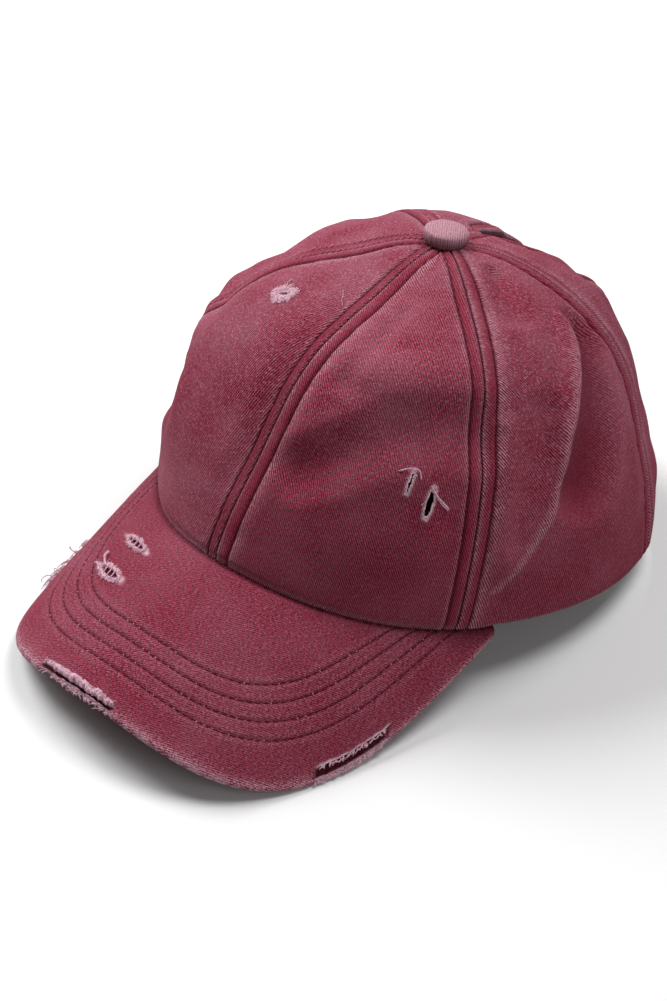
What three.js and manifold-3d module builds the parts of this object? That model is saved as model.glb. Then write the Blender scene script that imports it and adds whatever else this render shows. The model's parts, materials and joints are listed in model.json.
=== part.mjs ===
// A six-panel cap of washed cotton twill with a curved brim and a ponytail opening at the back.
// Millimetres. X is the wearer's left, -Y the front, +Z up. The cap lies as it would on a table:
// on the two lower corners of the brim and on the back of the rim, with the front of the crown raised.

import * as THREE from "three";
import { mergeVertices } from "three/addons/utils/BufferGeometryUtils.js";
import Module from "manifold-3d";

// Driving dimensions of the crown. The rim's plane is z = 0 until the cap is laid down.
const HEAD_HALF_LENGTH = 93;
const HEAD_HALF_WIDTH = 86;
const CROWN_HEIGHT = 103.5;
const APEX_SET_BACK = 7;
const FRONT_RISE = 10.7;
const FRONT_RISE_POWER = 4;
const FRONT_NARROWING = 0.12;
const SIDE_FRONT_SEAM_DEG = 60.4;
const SIDE_BACK_SEAM_DEG = 120.3;
const CLOTH = 1.2;
const PIECE_GAP = 0.3;
const PANEL_PUFF = 2.4;
const PUFF_START = 5.5;
const PUFF_FULL = 16;
const RIM_PLAIN_RISE = 0.06;
const RIM_FOLDED_RISE = 0.24;
const APEX_HOLE_RADIUS = 2.6;

// The wall's thickness lies level at the rim, and turns across the wall over this share of the way up.
const LEVEL_RISE = 0.12;

// The ponytail opening between the two back panels, and the strap that closes its foot.
const OPENING_HALF_WIDTH = 15;
const OPENING_TOP_RISE = 0.85;
const OPENING_POWER = 2.4;
const STRAP_HEIGHT = 20;
const STRAP_THICKNESS = 1.6;
const STRAP_LAP = 12;

// The band inside the rim.
const SWEATBAND_HEIGHT = 28;
const SWEATBAND_THICKNESS = 1.2;
const BAND_GAP = 0.5;

// The covered button on the apex.
const BUTTON_RADIUS = 7.8;
const BUTTON_SIDE = 2.6;
const BUTTON_DOME = 1.7;
const BUTTON_EDGE_ROUND = 0.9;
const BUTTON_DOME_RINGS = [0.93, 0.78, 0.5];

// The brim: a tilted arched sheet whose outline is a superellipse in the sheet's own flat axes.
const BRIM_LENGTH = 65.5;
const BRIM_HALF_WIDTH = 90.9;
const BRIM_CORNER_POWER = 3.4;
const BRIM_ARCH_RADIUS = 91.8;
const BRIM_SLOPE_DEG = 32.8;
const BRIM_END_DEG = 71.6;
const BRIM_THICKNESS = 3.2;
const BRIM_ROOT_FADE = 24;
const BRIM_ROOT_FADE_POWER = 1.6;
const BRIM_END_SHARE = 0.965;

// Fullness of the crown against a plain oval dome, one row for each sixth of the turn from the front
// round the wearer's left. Each value is a share of the dome's radius at that height.
const FULLNESS = [
  { name: "front", low: 0.925, middle: 0.95, high: 0.929 },
  { name: "left_front", low: 1.07, middle: 1.1, high: 1.02 },
  { name: "left_back", low: 0.976, middle: 1.015, high: 1.015 },
  { name: "back", low: 1.0, middle: 1.03, high: 0.975 },
  { name: "right_back", low: 0.976, middle: 1.015, high: 1.015 },
  { name: "right_front", low: 1.067, middle: 1.053, high: 0.974 },
];

// Folds and dents. Turn is in degrees from the front, rise is a share of the way up to the apex,
// and width and depth are shares of the head's half width. A negative depth is a hollow.
const FOLDS = [
  { name: "left_front_dent", turn: 12, rise: 0.47, endTurn: 55, endRise: 0.44, width: 0.2, depth: -0.038 },
  { name: "left_front_lobe", turn: 22, rise: 0.69, endTurn: 48, endRise: 0.61, width: 0.2, depth: 0.014 },
  { name: "left_side_crease_top", turn: 103, rise: 0.61, endTurn: 88, endRise: 0.39, width: 0.1, depth: 0.03 },
  { name: "left_side_crease_foot", turn: 88, rise: 0.39, endTurn: 68, endRise: 0.1, width: 0.1, depth: 0.024 },
  { name: "left_side_hollow", turn: 106, rise: 0.56, endTurn: 97, endRise: 0.36, width: 0.16, depth: -0.04 },
  { name: "left_seam_ridge", turn: 65, rise: 0.42, endTurn: 66.5, endRise: 0.14, width: 0.07, depth: 0.018 },
  { name: "left_side_valley", turn: 79, rise: 0.52, endTurn: 72, endRise: 0.2, width: 0.12, depth: -0.032 },
  { name: "left_apex_pinch", turn: 102, rise: 0.86, endTurn: 98, endRise: 0.7, width: 0.07, depth: -0.018 },
  { name: "left_back_gather", turn: 164, rise: 0.84, endTurn: 170, endRise: 0.62, width: 0.12, depth: 0.03 },
  { name: "right_back_gather", turn: 198, rise: 0.84, endTurn: 193, endRise: 0.6, width: 0.16, depth: 0.042 },
  { name: "right_side_hollow", turn: 274, rise: 0.52, endTurn: 284, endRise: 0.2, width: 0.2, depth: -0.03 },
  { name: "right_front_dent", turn: 318, rise: 0.42, endTurn: 342, endRise: 0.38, width: 0.2, depth: -0.018 },
];

// Tears through the panels. Length and width are shares of the head's half width, and lean is the
// angle in degrees from the line up to the apex towards the wearer's left.
const PANEL_TEARS = [
  { node: "panel_front_right", turn: -35.8, rise: 0.578, length: 0.05, width: 0.016, lean: 38 },
  { node: "panel_front_left", turn: 44.6, rise: 0.315, length: 0.09, width: 0.014, lean: 4 },
  { node: "panel_front_left", turn: 49.5, rise: 0.278, length: 0.125, width: 0.032, lean: 0 },
];

// Holes worn through the brim's upper cloth, at shares of the brim's half width and length.
const BRIM_HOLES = [
  { across: -0.385, forward: 0.125, length: 0.075, width: 0.03, lean: 52 },
  { across: -0.431, forward: 0.318, length: 0.085, width: 0.036, lean: 48 },
];
const BRIM_HOLE_DEPTH = 0.9;

// A tear's cutter reaches this many walls in from the surface and out of it.
const TEAR_WALLS_IN = 4;
const TEAR_WALLS_OUT = 2;

// Stretches of the brim's edge that are worn open, as shares of the way from its middle to its ends.
const EDGE_TEARS = [
  { name: "front", from: -0.185, to: 0.065, depth: 0.4 },
  { name: "left_corner", from: 0.54, to: 0.68, depth: 0.55 },
  { name: "right_corner", from: -0.7, to: -0.62, depth: 0.3 },
];
const EDGE_TEAR_FADE = 0.03;

// Distances from the brim's edge at which its rounded edge has rows, as shares of its thickness, and
// the share of the thickness that is left at the edge itself.
const EDGE_ROWS = [0.9, 0.42, 0.12, 0];
const EDGE_BLUNTNESS = 0.25;

// Mesh densities.
const PANEL_COLUMNS = 12;
const PANEL_ROWS = 14;
const BRIM_COLUMNS = 46;
const BRIM_ROWS = 8;
const BUTTON_SIDES = 20;
const TEAR_SIDES = 8;

const DEG = Math.PI / 180;
const QUARTER = Math.PI / 2;
const SIXTH = Math.PI / 3;
const STEP = 1e-3;
const RIM_TURN_ROUNDS = 12;
const MOST_SINE = 0.98;

const clamp = THREE.MathUtils.clamp;
const smooth = (value, low, high) => THREE.MathUtils.smoothstep(value, low, high);

// A Catmull-Rom curve through p1 and p2.
function spline(p0, p1, p2, p3, f) {
  const square = (2 * p0 - 5 * p1 + 4 * p2 - p3) * f * f;
  const cube = (3 * p1 - p0 - 3 * p2 + p3) * f * f * f;
  return 0.5 * (2 * p1 + (p2 - p0) * f + square + cube);
}

// The rim, where the crown meets the sweatband and the brim.
function rimPoint(turn) {
  const width = HEAD_HALF_WIDTH * (1 - FRONT_NARROWING * Math.cos(turn));
  const rise = FRONT_RISE * Math.max(Math.cos(turn), 0) ** FRONT_RISE_POWER;
  return new THREE.Vector3(width * Math.sin(turn), -HEAD_HALF_LENGTH * Math.cos(turn), rise);
}

function fullnessAround(turn, column) {
  const place = turn / SIXTH;
  const first = Math.floor(place);
  const row = (index) => FULLNESS[(((first + index) % 6) + 6) % 6][column];
  return spline(row(-1), row(0), row(1), row(2), place - first);
}

// Fullness at a turn and an angle up from the rim, level at the apex.
function fullness(turn, angle) {
  const low = fullnessAround(turn, "low");
  const middle = fullnessAround(turn, "middle");
  const high = fullnessAround(turn, "high");
  const knots = [2 - low, 1, low, middle, high, 1, high];
  const place = (4 * angle) / QUARTER;
  const first = clamp(Math.floor(place), 0, 3);
  return spline(knots[first], knots[first + 1], knots[first + 2], knots[first + 3], place - first);
}

// The crown's outer form without its puff and folds.
function domePoint(turn, rise) {
  const angle = rise * QUARTER;
  const radius = fullness(turn, angle);
  const inward = radius * Math.cos(angle);
  const upward = radius * Math.sin(angle);
  const rim = rimPoint(turn);
  return new THREE.Vector3(
    rim.x * inward,
    rim.y * inward + APEX_SET_BACK * upward,
    rim.z * (1 - upward) + CROWN_HEIGHT * upward,
  );
}

// The outward direction of the dome, level at the rim so that the wall's lower edge is level too.
function domeNormal(turn, rise) {
  const along = domePoint(turn + STEP, rise).sub(domePoint(turn - STEP, rise));
  const up = domePoint(turn, Math.min(rise + STEP, 1)).sub(domePoint(turn, rise - STEP));
  const normal = along.cross(up).normalize();
  normal.z *= smooth(rise, 0, LEVEL_RISE);
  return normal.normalize();
}

// The height of one fold at a place on the crown, in shares of the head's half width.
function foldHeight(fold, turn, rise) {
  const shrink = Math.cos(((fold.rise + fold.endRise) / 2) * QUARTER);
  const climb = (QUARTER * (CROWN_HEIGHT + HEAD_HALF_WIDTH)) / 2 / HEAD_HALF_WIDTH;
  const offset = ((turn - fold.turn * DEG + 3 * Math.PI) % (2 * Math.PI)) - Math.PI;
  const point = new THREE.Vector2(offset * shrink, (rise - fold.rise) * climb);
  const line = new THREE.Vector2((fold.endTurn - fold.turn) * DEG * shrink, (fold.endRise - fold.rise) * climb);
  const share = clamp(point.dot(line) / line.lengthSq(), 0, 1);
  const distance = point.distanceTo(line.multiplyScalar(share));
  const near = Math.max(1 - (distance / fold.width) ** 2, 0);
  return fold.depth * near * near;
}

// Each panel puffs out between its seams, and the folds lie over that.
function relief(panel, turn, rise) {
  const wrapped = ((turn + 3 * Math.PI) % (2 * Math.PI)) - Math.PI;
  const radius = HEAD_HALF_WIDTH * Math.cos(rise * QUARTER);
  const fromSeam = Math.min(Math.abs(wrapped - panel.from), Math.abs(panel.to - wrapped)) * radius;
  const halfPanel = ((panel.to - panel.from) / 2) * radius;
  const puff = PANEL_PUFF * smooth(fromSeam, PUFF_START, PUFF_FULL) * smooth(halfPanel, PUFF_START, 2 * PUFF_FULL);
  const rimFade = smooth(rise, RIM_PLAIN_RISE, RIM_FOLDED_RISE);
  const folds = FOLDS.reduce((sum, fold) => sum + foldHeight(fold, turn, rise), 0);
  return (puff + folds * HEAD_HALF_WIDTH) * rimFade;
}

// Half the width of the ponytail opening at a height.
function openingHalfWidth(rise) {
  return OPENING_HALF_WIDTH * Math.sqrt(Math.max(1 - (rise / OPENING_TOP_RISE) ** OPENING_POWER, 0));
}

// The angle that a length across the crown takes up at a height.
function turnOf(length, rise) {
  const radius = HEAD_HALF_WIDTH * Math.cos(rise * QUARTER);
  return Math.asin(clamp(length / radius, 0, 1));
}

// A closed shell between two sheets, each a function of a column and a row.
function shell(columns, rows, outer, inner) {
  const positions = [];
  const index = [];
  const place = (side, column, row) => side * (columns + 1) * (rows + 1) + row * (columns + 1) + column;
  const quad = (a, b, c, d) => index.push(a, b, c, a, c, d);
  for (const sheet of [outer, inner]) {
    for (let row = 0; row <= rows; row += 1) {
      for (let column = 0; column <= columns; column += 1) {
        positions.push(...sheet(column, row).toArray());
      }
    }
  }
  for (let row = 0; row < rows; row += 1) {
    for (let column = 0; column < columns; column += 1) {
      quad(place(0, column, row), place(0, column + 1, row), place(0, column + 1, row + 1), place(0, column, row + 1));
      quad(place(1, column, row), place(1, column, row + 1), place(1, column + 1, row + 1), place(1, column + 1, row));
    }
  }
  for (let column = 0; column < columns; column += 1) {
    quad(place(1, column, 0), place(1, column + 1, 0), place(0, column + 1, 0), place(0, column, 0));
    quad(place(0, column, rows), place(0, column + 1, rows), place(1, column + 1, rows), place(1, column, rows));
  }
  for (let row = 0; row < rows; row += 1) {
    quad(place(0, 0, row), place(0, 0, row + 1), place(1, 0, row + 1), place(1, 0, row));
    quad(place(1, columns, row), place(1, columns, row + 1), place(0, columns, row + 1), place(0, columns, row));
  }
  const geometry = new THREE.BufferGeometry();
  geometry.setAttribute("position", new THREE.Float32BufferAttribute(positions, 3));
  geometry.setIndex(index);
  return geometry;
}

const wasm = await Module();
wasm.setup();

function toManifold(geometry) {
  const bare = geometry.clone();
  bare.deleteAttribute("normal");
  bare.deleteAttribute("uv");
  const merged = mergeVertices(bare);
  const vertProperties = new Float32Array(merged.getAttribute("position").array);
  const triVerts = new Uint32Array(merged.getIndex().array);
  return new wasm.Manifold(new wasm.Mesh({ numProp: 3, vertProperties, triVerts }));
}

function fromManifold(solid) {
  const mesh = solid.getMesh();
  const geometry = new THREE.BufferGeometry();
  geometry.setAttribute("position", new THREE.BufferAttribute(mesh.vertProperties, 3));
  geometry.setIndex(new THREE.BufferAttribute(mesh.triVerts, 1));
  return geometry;
}

// A lens-shaped cutter that lies along a surface, with its middle at the given depth below it.
function lensCutter(length, width, height, depth, origin, normal, along) {
  const shape = new THREE.Shape();
  for (let side = 0; side < TEAR_SIDES; side += 1) {
    const angle = (side / TEAR_SIDES) * 2 * Math.PI;
    const x = (width / 2) * Math.sin(angle) * Math.abs(Math.sin(angle));
    const y = (length / 2) * Math.cos(angle);
    if (side === 0) {
      shape.moveTo(x, y);
    } else {
      shape.lineTo(x, y);
    }
  }
  const geometry = new THREE.ExtrudeGeometry(shape, { depth: height, bevelEnabled: false, steps: 1 });
  geometry.translate(0, 0, -depth);
  const across = new THREE.Vector3().crossVectors(along, normal).normalize();
  const straight = new THREE.Vector3().crossVectors(normal, across).normalize();
  geometry.applyMatrix4(new THREE.Matrix4().makeBasis(across, straight, normal).setPosition(origin));
  return geometry;
}

// The six panels, as turns from the front round the wearer's left.
const PANELS = [
  { node: "panel_front_left", from: 0, to: SIDE_FRONT_SEAM_DEG * DEG },
  { node: "panel_side_left", from: SIDE_FRONT_SEAM_DEG * DEG, to: SIDE_BACK_SEAM_DEG * DEG },
  { node: "panel_back_left", from: SIDE_BACK_SEAM_DEG * DEG, to: Math.PI, openingAt: "to" },
  { node: "panel_back_right", from: -Math.PI, to: -SIDE_BACK_SEAM_DEG * DEG, openingAt: "from" },
  { node: "panel_side_right", from: -SIDE_BACK_SEAM_DEG * DEG, to: -SIDE_FRONT_SEAM_DEG * DEG },
  { node: "panel_front_right", from: -SIDE_FRONT_SEAM_DEG * DEG, to: 0 },
];
const TOP_RISE = 1 - Math.asin(APEX_HOLE_RADIUS / HEAD_HALF_WIDTH) / QUARTER;

function panelAt(turn) {
  const wrapped = ((turn + 3 * Math.PI) % (2 * Math.PI)) - Math.PI;
  return PANELS.find((panel) => wrapped >= panel.from && wrapped <= panel.to) ?? PANELS[0];
}

function panelPoint(panel, turn, rise, depth) {
  const height = relief(panel, turn, rise) - depth;
  return domePoint(turn, rise).addScaledVector(domeNormal(turn, rise), height);
}

function panelGeometry(panel) {
  const turnAt = (column, rise) => {
    const seam = turnOf(PIECE_GAP / 2, rise);
    const opening = turnOf(Math.max(openingHalfWidth(rise), PIECE_GAP / 2), rise);
    const from = panel.from + (panel.openingAt === "from" ? opening : seam);
    const to = panel.to - (panel.openingAt === "to" ? opening : seam);
    return THREE.MathUtils.lerp(from, to, column / PANEL_COLUMNS);
  };
  const sheet = (depth) => (column, row) => {
    const rise = (row / PANEL_ROWS) * TOP_RISE;
    return panelPoint(panel, turnAt(column, rise), rise, depth);
  };
  return shell(PANEL_COLUMNS, PANEL_ROWS, sheet(0), sheet(CLOTH));
}

function tornPanelGeometry(panel) {
  const tears = PANEL_TEARS.filter((tear) => tear.node === panel.node);
  const whole = panelGeometry(panel);
  if (tears.length === 0) {
    return whole;
  }
  let solid = toManifold(whole);
  for (const tear of tears) {
    const turn = tear.turn * DEG;
    const normal = domeNormal(turn, tear.rise);
    const origin = panelPoint(panel, turn, tear.rise, 0);
    const up = panelPoint(panel, turn, tear.rise + STEP, 0).sub(origin).normalize();
    const along = up.applyAxisAngle(normal, -tear.lean * DEG);
    const length = tear.length * HEAD_HALF_WIDTH;
    const width = tear.width * HEAD_HALF_WIDTH;
    const height = (TEAR_WALLS_IN + TEAR_WALLS_OUT) * CLOTH;
    const cutter = lensCutter(length, width, height, TEAR_WALLS_IN * CLOTH, origin, normal, along);
    solid = solid.subtract(toManifold(cutter));
  }
  return fromManifold(solid);
}

// Values from low to high with the panels' own steps between them, so that a band's facets follow the wall's.
function stepsBetween(low, high, knots) {
  const margin = (high - low) * STEP;
  return [low, ...knots.filter((knot) => knot > low + margin && knot < high - margin), high];
}

// A point of the wall on the straight line between the panels' rows above and below it.
function wallPoint(turn, rise, depth) {
  const place = (rise / TOP_RISE) * PANEL_ROWS;
  const row = Math.floor(place);
  const panel = panelAt(turn);
  const lower = panelPoint(panel, turn, (row / PANEL_ROWS) * TOP_RISE, depth);
  const upper = panelPoint(panel, turn, ((row + 1) / PANEL_ROWS) * TOP_RISE, depth);
  return lower.lerp(upper, place - row);
}

// Bands that lie against the inside of the crown's wall: the sweatband and the strap.
function bandGeometry(from, to, height, thickness) {
  const columnKnots = [];
  for (const panel of [...PANELS].sort((a, b) => a.from - b.from)) {
    for (let column = 0; column < PANEL_COLUMNS; column += 1) {
      columnKnots.push(THREE.MathUtils.lerp(panel.from, panel.to, column / PANEL_COLUMNS));
    }
  }
  const around = [...columnKnots, ...columnKnots.map((turn) => turn + 2 * Math.PI)];
  const turns = stepsBetween(from, to, around);
  const rowKnots = Array.from({ length: PANEL_ROWS }, (_, row) => (row / PANEL_ROWS) * TOP_RISE);
  const rises = stepsBetween(0, height / (CROWN_HEIGHT * QUARTER), rowKnots);
  const depth = CLOTH + BAND_GAP;
  const sheet = (layer) => (column, row) => wallPoint(turns[column], rises[row], layer);
  return shell(turns.length - 1, rises.length - 1, sheet(depth), sheet(depth + thickness));
}

// The brim. Its sheet is flat in p, across, and q, forward of the rim's front point.
const SLOPE_COS = Math.cos(BRIM_SLOPE_DEG * DEG);
const SLOPE_SIN = Math.sin(BRIM_SLOPE_DEG * DEG);

function sheetPoint(p, q) {
  const angle = p / BRIM_ARCH_RADIUS;
  const fall = BRIM_ARCH_RADIUS * (1 - Math.cos(angle));
  return new THREE.Vector3(
    BRIM_ARCH_RADIUS * Math.sin(angle),
    -HEAD_HALF_LENGTH - q * SLOPE_COS + fall * SLOPE_SIN,
    FRONT_RISE - q * SLOPE_SIN - fall * SLOPE_COS,
  );
}

// The sheet's own axes under a point of the rim.
function rootPlace(turn) {
  const rim = rimPoint(turn);
  const p = BRIM_ARCH_RADIUS * Math.asin(clamp(rim.x / BRIM_ARCH_RADIUS, -1, 1));
  const fall = BRIM_ARCH_RADIUS * (1 - Math.cos(p / BRIM_ARCH_RADIUS));
  return { p, q: (fall * SLOPE_SIN - rim.y - HEAD_HALF_LENGTH) / SLOPE_COS };
}

// The brim's innermost line, level with its root and under the wall and the sweatband.
function innerRootPoint(turn) {
  const inset = CLOTH + BAND_GAP + SWEATBAND_THICKNESS;
  const point = rimPoint(turn).addScaledVector(domeNormal(turn, 0), -inset);
  point.z -= PIECE_GAP;
  return point;
}

// The turn at which the rim's front half reaches a distance across.
function rimTurn(x) {
  let turn = 0;
  for (let round = 0; round < RIM_TURN_ROUNDS; round += 1) {
    const width = HEAD_HALF_WIDTH * (1 - FRONT_NARROWING * Math.cos(turn));
    turn = Math.asin(clamp(x / width, -MOST_SINE, MOST_SINE));
  }
  return turn;
}

// The brim's upper surface: the sheet, drawn down to the rim along its root.
function brimPoint(p, q) {
  const point = sheetPoint(p, q);
  const turn = rimTurn(point.x);
  const root = rootPlace(turn);
  const drop = rimPoint(turn).z - PIECE_GAP - sheetPoint(root.p, root.q).z;
  const away = clamp(1 - (q - root.q) / BRIM_ROOT_FADE, 0, 1);
  point.z += drop * away ** BRIM_ROOT_FADE_POWER;
  return point;
}

function brimNormal(p, q) {
  const across = sheetPoint(p + STEP, q).sub(sheetPoint(p - STEP, q));
  const forward = sheetPoint(p, q + STEP).sub(sheetPoint(p, q - STEP));
  return forward.cross(across).normalize();
}

// The brim's outline, from its right end at -1 to its left end at 1.
function outlinePlace(share) {
  const end = rootPlace(BRIM_END_DEG * DEG);
  const angle = share * QUARTER;
  const sine = Math.sin(angle);
  const cosine = Math.cos(angle);
  const power = BRIM_CORNER_POWER;
  const reach = (Math.abs(sine) ** power + Math.abs(cosine) ** power) ** (1 / power);
  const forward = cosine / reach;
  const narrowing = (1 - end.p / BRIM_HALF_WIDTH) * (1 - forward) ** 2;
  return {
    p: (BRIM_HALF_WIDTH * sine * (1 - narrowing)) / reach,
    q: end.q + (BRIM_LENGTH - end.q) * forward,
  };
}

// How far the brim's edge is worn back at a place along it.
function edgeWear(share) {
  const fade = EDGE_TEAR_FADE;
  const wear = (tear) => smooth(share, tear.from - fade, tear.from) * (1 - smooth(share, tear.to, tear.to + fade));
  return EDGE_TEARS.reduce((sum, tear) => sum + tear.depth * BRIM_THICKNESS * wear(tear), 0);
}

function brimGeometry() {
  const half = BRIM_THICKNESS / 2;
  const plainRows = BRIM_ROWS + 1;
  const rows = plainRows + EDGE_ROWS.length - 1;
  const shareAt = (column) => THREE.MathUtils.lerp(BRIM_END_SHARE, -BRIM_END_SHARE, column / BRIM_COLUMNS);
  const place = (column, row) => {
    const share = shareAt(column);
    const root = rootPlace(share * BRIM_END_DEG * DEG);
    const edge = outlinePlace(share);
    const length = Math.hypot(edge.p - root.p, edge.q - root.q);
    const inEdge = row >= plainRows;
    const lastPlain = Math.max(length - EDGE_ROWS[0] * BRIM_THICKNESS, 0);
    const plain = length - (Math.max(row - 1, 0) / BRIM_ROWS) * lastPlain;
    const fromEdge = inEdge ? EDGE_ROWS[row - plainRows] * BRIM_THICKNESS : plain;
    const worn = inEdge ? edgeWear(share) : 0;
    const along = clamp((length - fromEdge - worn) / length, 0, 1);
    const thin = half - Math.sqrt(Math.max(half * half - Math.max(half - fromEdge, 0) ** 2, 0));
    return {
      p: THREE.MathUtils.lerp(root.p, edge.p, along),
      q: THREE.MathUtils.lerp(root.q, edge.q, along),
      thin: Math.min(thin, (1 - EDGE_BLUNTNESS) * half),
    };
  };
  const sheetAt = (column, row) => {
    const { p, q, thin } = place(column, row);
    const turn = shareAt(column) * BRIM_END_DEG * DEG;
    const point = row === 0 ? innerRootPoint(turn) : brimPoint(p, q);
    return { point, normal: brimNormal(p, q), thin };
  };
  const top = (column, row) => {
    const { point, normal, thin } = sheetAt(column, row);
    return point.addScaledVector(normal, -thin);
  };
  const bottom = (column, row) => {
    const { point, normal, thin } = sheetAt(column, row);
    return point.addScaledVector(normal, thin - BRIM_THICKNESS);
  };
  let solid = toManifold(shell(BRIM_COLUMNS, rows, top, bottom));
  for (const hole of BRIM_HOLES) {
    const p = hole.across * BRIM_HALF_WIDTH;
    const q = hole.forward * BRIM_LENGTH;
    const normal = brimNormal(p, q);
    const origin = brimPoint(p, q);
    const forward = brimPoint(p, q + STEP).sub(origin).normalize();
    const along = forward.applyAxisAngle(normal, hole.lean * DEG);
    const length = hole.length * BRIM_HALF_WIDTH;
    const width = hole.width * BRIM_HALF_WIDTH;
    const cutter = lensCutter(length, width, BRIM_THICKNESS, BRIM_HOLE_DEPTH, origin, normal, along);
    solid = solid.subtract(toManifold(cutter));
  }
  return fromManifold(solid);
}

// The covered button: flat below, with a rounded edge and a low dome.
function buttonGeometry() {
  const points = [new THREE.Vector2(0, 0), new THREE.Vector2(BUTTON_RADIUS - BUTTON_EDGE_ROUND, 0)];
  points.push(new THREE.Vector2(BUTTON_RADIUS, BUTTON_EDGE_ROUND));
  points.push(new THREE.Vector2(BUTTON_RADIUS, BUTTON_SIDE - BUTTON_EDGE_ROUND));
  for (const share of BUTTON_DOME_RINGS) {
    const height = BUTTON_SIDE + BUTTON_DOME * (1 - share * share);
    points.push(new THREE.Vector2(BUTTON_RADIUS * share, height));
  }
  points.push(new THREE.Vector2(0, BUTTON_SIDE + BUTTON_DOME));
  const geometry = new THREE.LatheGeometry(points, BUTTON_SIDES);
  geometry.rotateX(QUARTER);
  return geometry;
}

const BURGUNDY = "#803c50";
const DEEP_BURGUNDY = "#6a2f42";
const PALE_BURGUNDY = "#be8296";

function addPiece(group, name, geometry, color) {
  const material = new THREE.MeshStandardMaterial({ color, roughness: 0.9, metalness: 0 });
  const mesh = new THREE.Mesh(geometry, material);
  mesh.name = name;
  group.add(mesh);
  return mesh;
}

// Lays the cap on its lowest points, and puts the middle of its footprint at the origin.
function layDown(group) {
  group.updateMatrixWorld(true);
  const points = [];
  group.traverse((mesh) => {
    if (mesh.isMesh) {
      const position = mesh.geometry.getAttribute("position");
      for (let index = 0; index < position.count; index += 1) {
        points.push(new THREE.Vector3().fromBufferAttribute(position, index).applyMatrix4(mesh.matrixWorld));
      }
    }
  });
  const sorted = [...points].sort((a, b) => a.y - b.y);
  const hull = [];
  for (const point of sorted) {
    while (hull.length > 1) {
      const [before, last] = hull.slice(-2);
      const turnsUp = (last.y - before.y) * (point.z - before.z) - (last.z - before.z) * (point.y - before.y);
      if (turnsUp > 0) {
        break;
      }
      hull.pop();
    }
    hull.push(point);
  }
  const next = hull.findIndex((point) => point.y > 0);
  const [front, back] = [hull[next - 1], hull[next]];
  group.rotation.x = -Math.atan2(back.z - front.z, back.y - front.y);
  group.updateMatrixWorld(true);
  const box = new THREE.Box3().setFromPoints(points.map((point) => point.applyMatrix4(group.matrixWorld)));
  group.position.set(-(box.min.x + box.max.x) / 2, -(box.min.y + box.max.y) / 2, -box.min.z);
}

const cap = new THREE.Group();
for (const panel of PANELS) {
  addPiece(cap, panel.node, tornPanelGeometry(panel), BURGUNDY);
}

const button = addPiece(cap, "crown_button", buttonGeometry(), PALE_BURGUNDY);
button.position.set(0, APEX_SET_BACK, CROWN_HEIGHT + PIECE_GAP);

addPiece(cap, "brim", brimGeometry(), BURGUNDY);

const strapEnd = turnOf(OPENING_HALF_WIDTH + STRAP_LAP, 0);
const bandEnd = turnOf(OPENING_HALF_WIDTH + STRAP_LAP + PIECE_GAP, 0);
const strap = bandGeometry(Math.PI - strapEnd, Math.PI + strapEnd, STRAP_HEIGHT, STRAP_THICKNESS);
addPiece(cap, "closure_strap", strap, BURGUNDY);
const band = bandGeometry(bandEnd - Math.PI, Math.PI - bandEnd, SWEATBAND_HEIGHT, SWEATBAND_THICKNESS);
addPiece(cap, "sweatband", band, DEEP_BURGUNDY);

layDown(cap);

export default cap;
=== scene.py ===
"""A washed cotton twill cap with a ponytail opening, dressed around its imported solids.

The cloth is worked out in millimetres in the cap's own frame, whose rim lies in the plane z = 0 with
the front at -Y and the wearer's left at +X. Every piece is then placed in the frame in metres.
"""

import json

import bpy
import numpy as np
from mathutils import Matrix, Vector


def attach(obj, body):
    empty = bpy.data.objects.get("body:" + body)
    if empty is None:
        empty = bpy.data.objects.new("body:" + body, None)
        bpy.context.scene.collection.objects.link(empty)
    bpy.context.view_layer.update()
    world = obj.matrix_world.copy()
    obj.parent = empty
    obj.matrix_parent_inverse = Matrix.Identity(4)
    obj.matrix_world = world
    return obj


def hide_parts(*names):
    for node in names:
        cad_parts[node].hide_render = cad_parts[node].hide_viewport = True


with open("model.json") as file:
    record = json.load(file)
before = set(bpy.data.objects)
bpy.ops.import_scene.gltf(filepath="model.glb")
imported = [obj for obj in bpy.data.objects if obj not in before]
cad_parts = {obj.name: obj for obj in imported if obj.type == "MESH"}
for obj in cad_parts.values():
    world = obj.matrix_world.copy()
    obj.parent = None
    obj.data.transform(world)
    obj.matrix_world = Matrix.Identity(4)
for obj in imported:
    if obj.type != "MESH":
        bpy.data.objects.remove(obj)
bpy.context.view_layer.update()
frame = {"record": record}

MM = 0.001
DEG = np.pi / 180
QUARTER = np.pi / 2
SIXTH = np.pi / 3
STEP = 1e-3
TINY = 1e-12
PHOTO_HEIGHT = 1001
SENSOR_MM = 36

# The crown.
HEAD_HALF_LENGTH = 93
HEAD_HALF_WIDTH = 86
CROWN_HEIGHT = 103.5
APEX_SET_BACK = 7
FRONT_RISE = 10.7
FRONT_RISE_POWER = 4
FRONT_NARROWING = 0.12
SIDE_FRONT_SEAM = 60.4 * DEG
SIDE_BACK_SEAM = 120.3 * DEG
CLOTH = 1.2
PANEL_PUFF = 2.4
PUFF_START = 5.5
PUFF_FULL = 16
RIM_PLAIN_RISE = 0.06
RIM_FOLDED_RISE = 0.24
LEVEL_RISE = 0.12
APEX_HOLE_RADIUS = 2.6
TOP_RISE = 1 - np.arcsin(APEX_HOLE_RADIUS / HEAD_HALF_WIDTH) / QUARTER
OPENING_HALF_WIDTH = 15
OPENING_TOP_RISE = 0.85
OPENING_POWER = 2.4
CROWN_CLIMB = CROWN_HEIGHT * QUARTER
RIM_PACE_RISE = 0.02
LEAST_GIRTH = 0.5
HEIGHT_SPANS = 4

# The bands inside the rim.
BAND_GAP = 0.5
SWEATBAND_HEIGHT = 28
SWEATBAND_THICKNESS = 1.2
STRAP_HEIGHT = 20
STRAP_THICKNESS = 1.6
STRAP_LAP = 12

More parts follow.
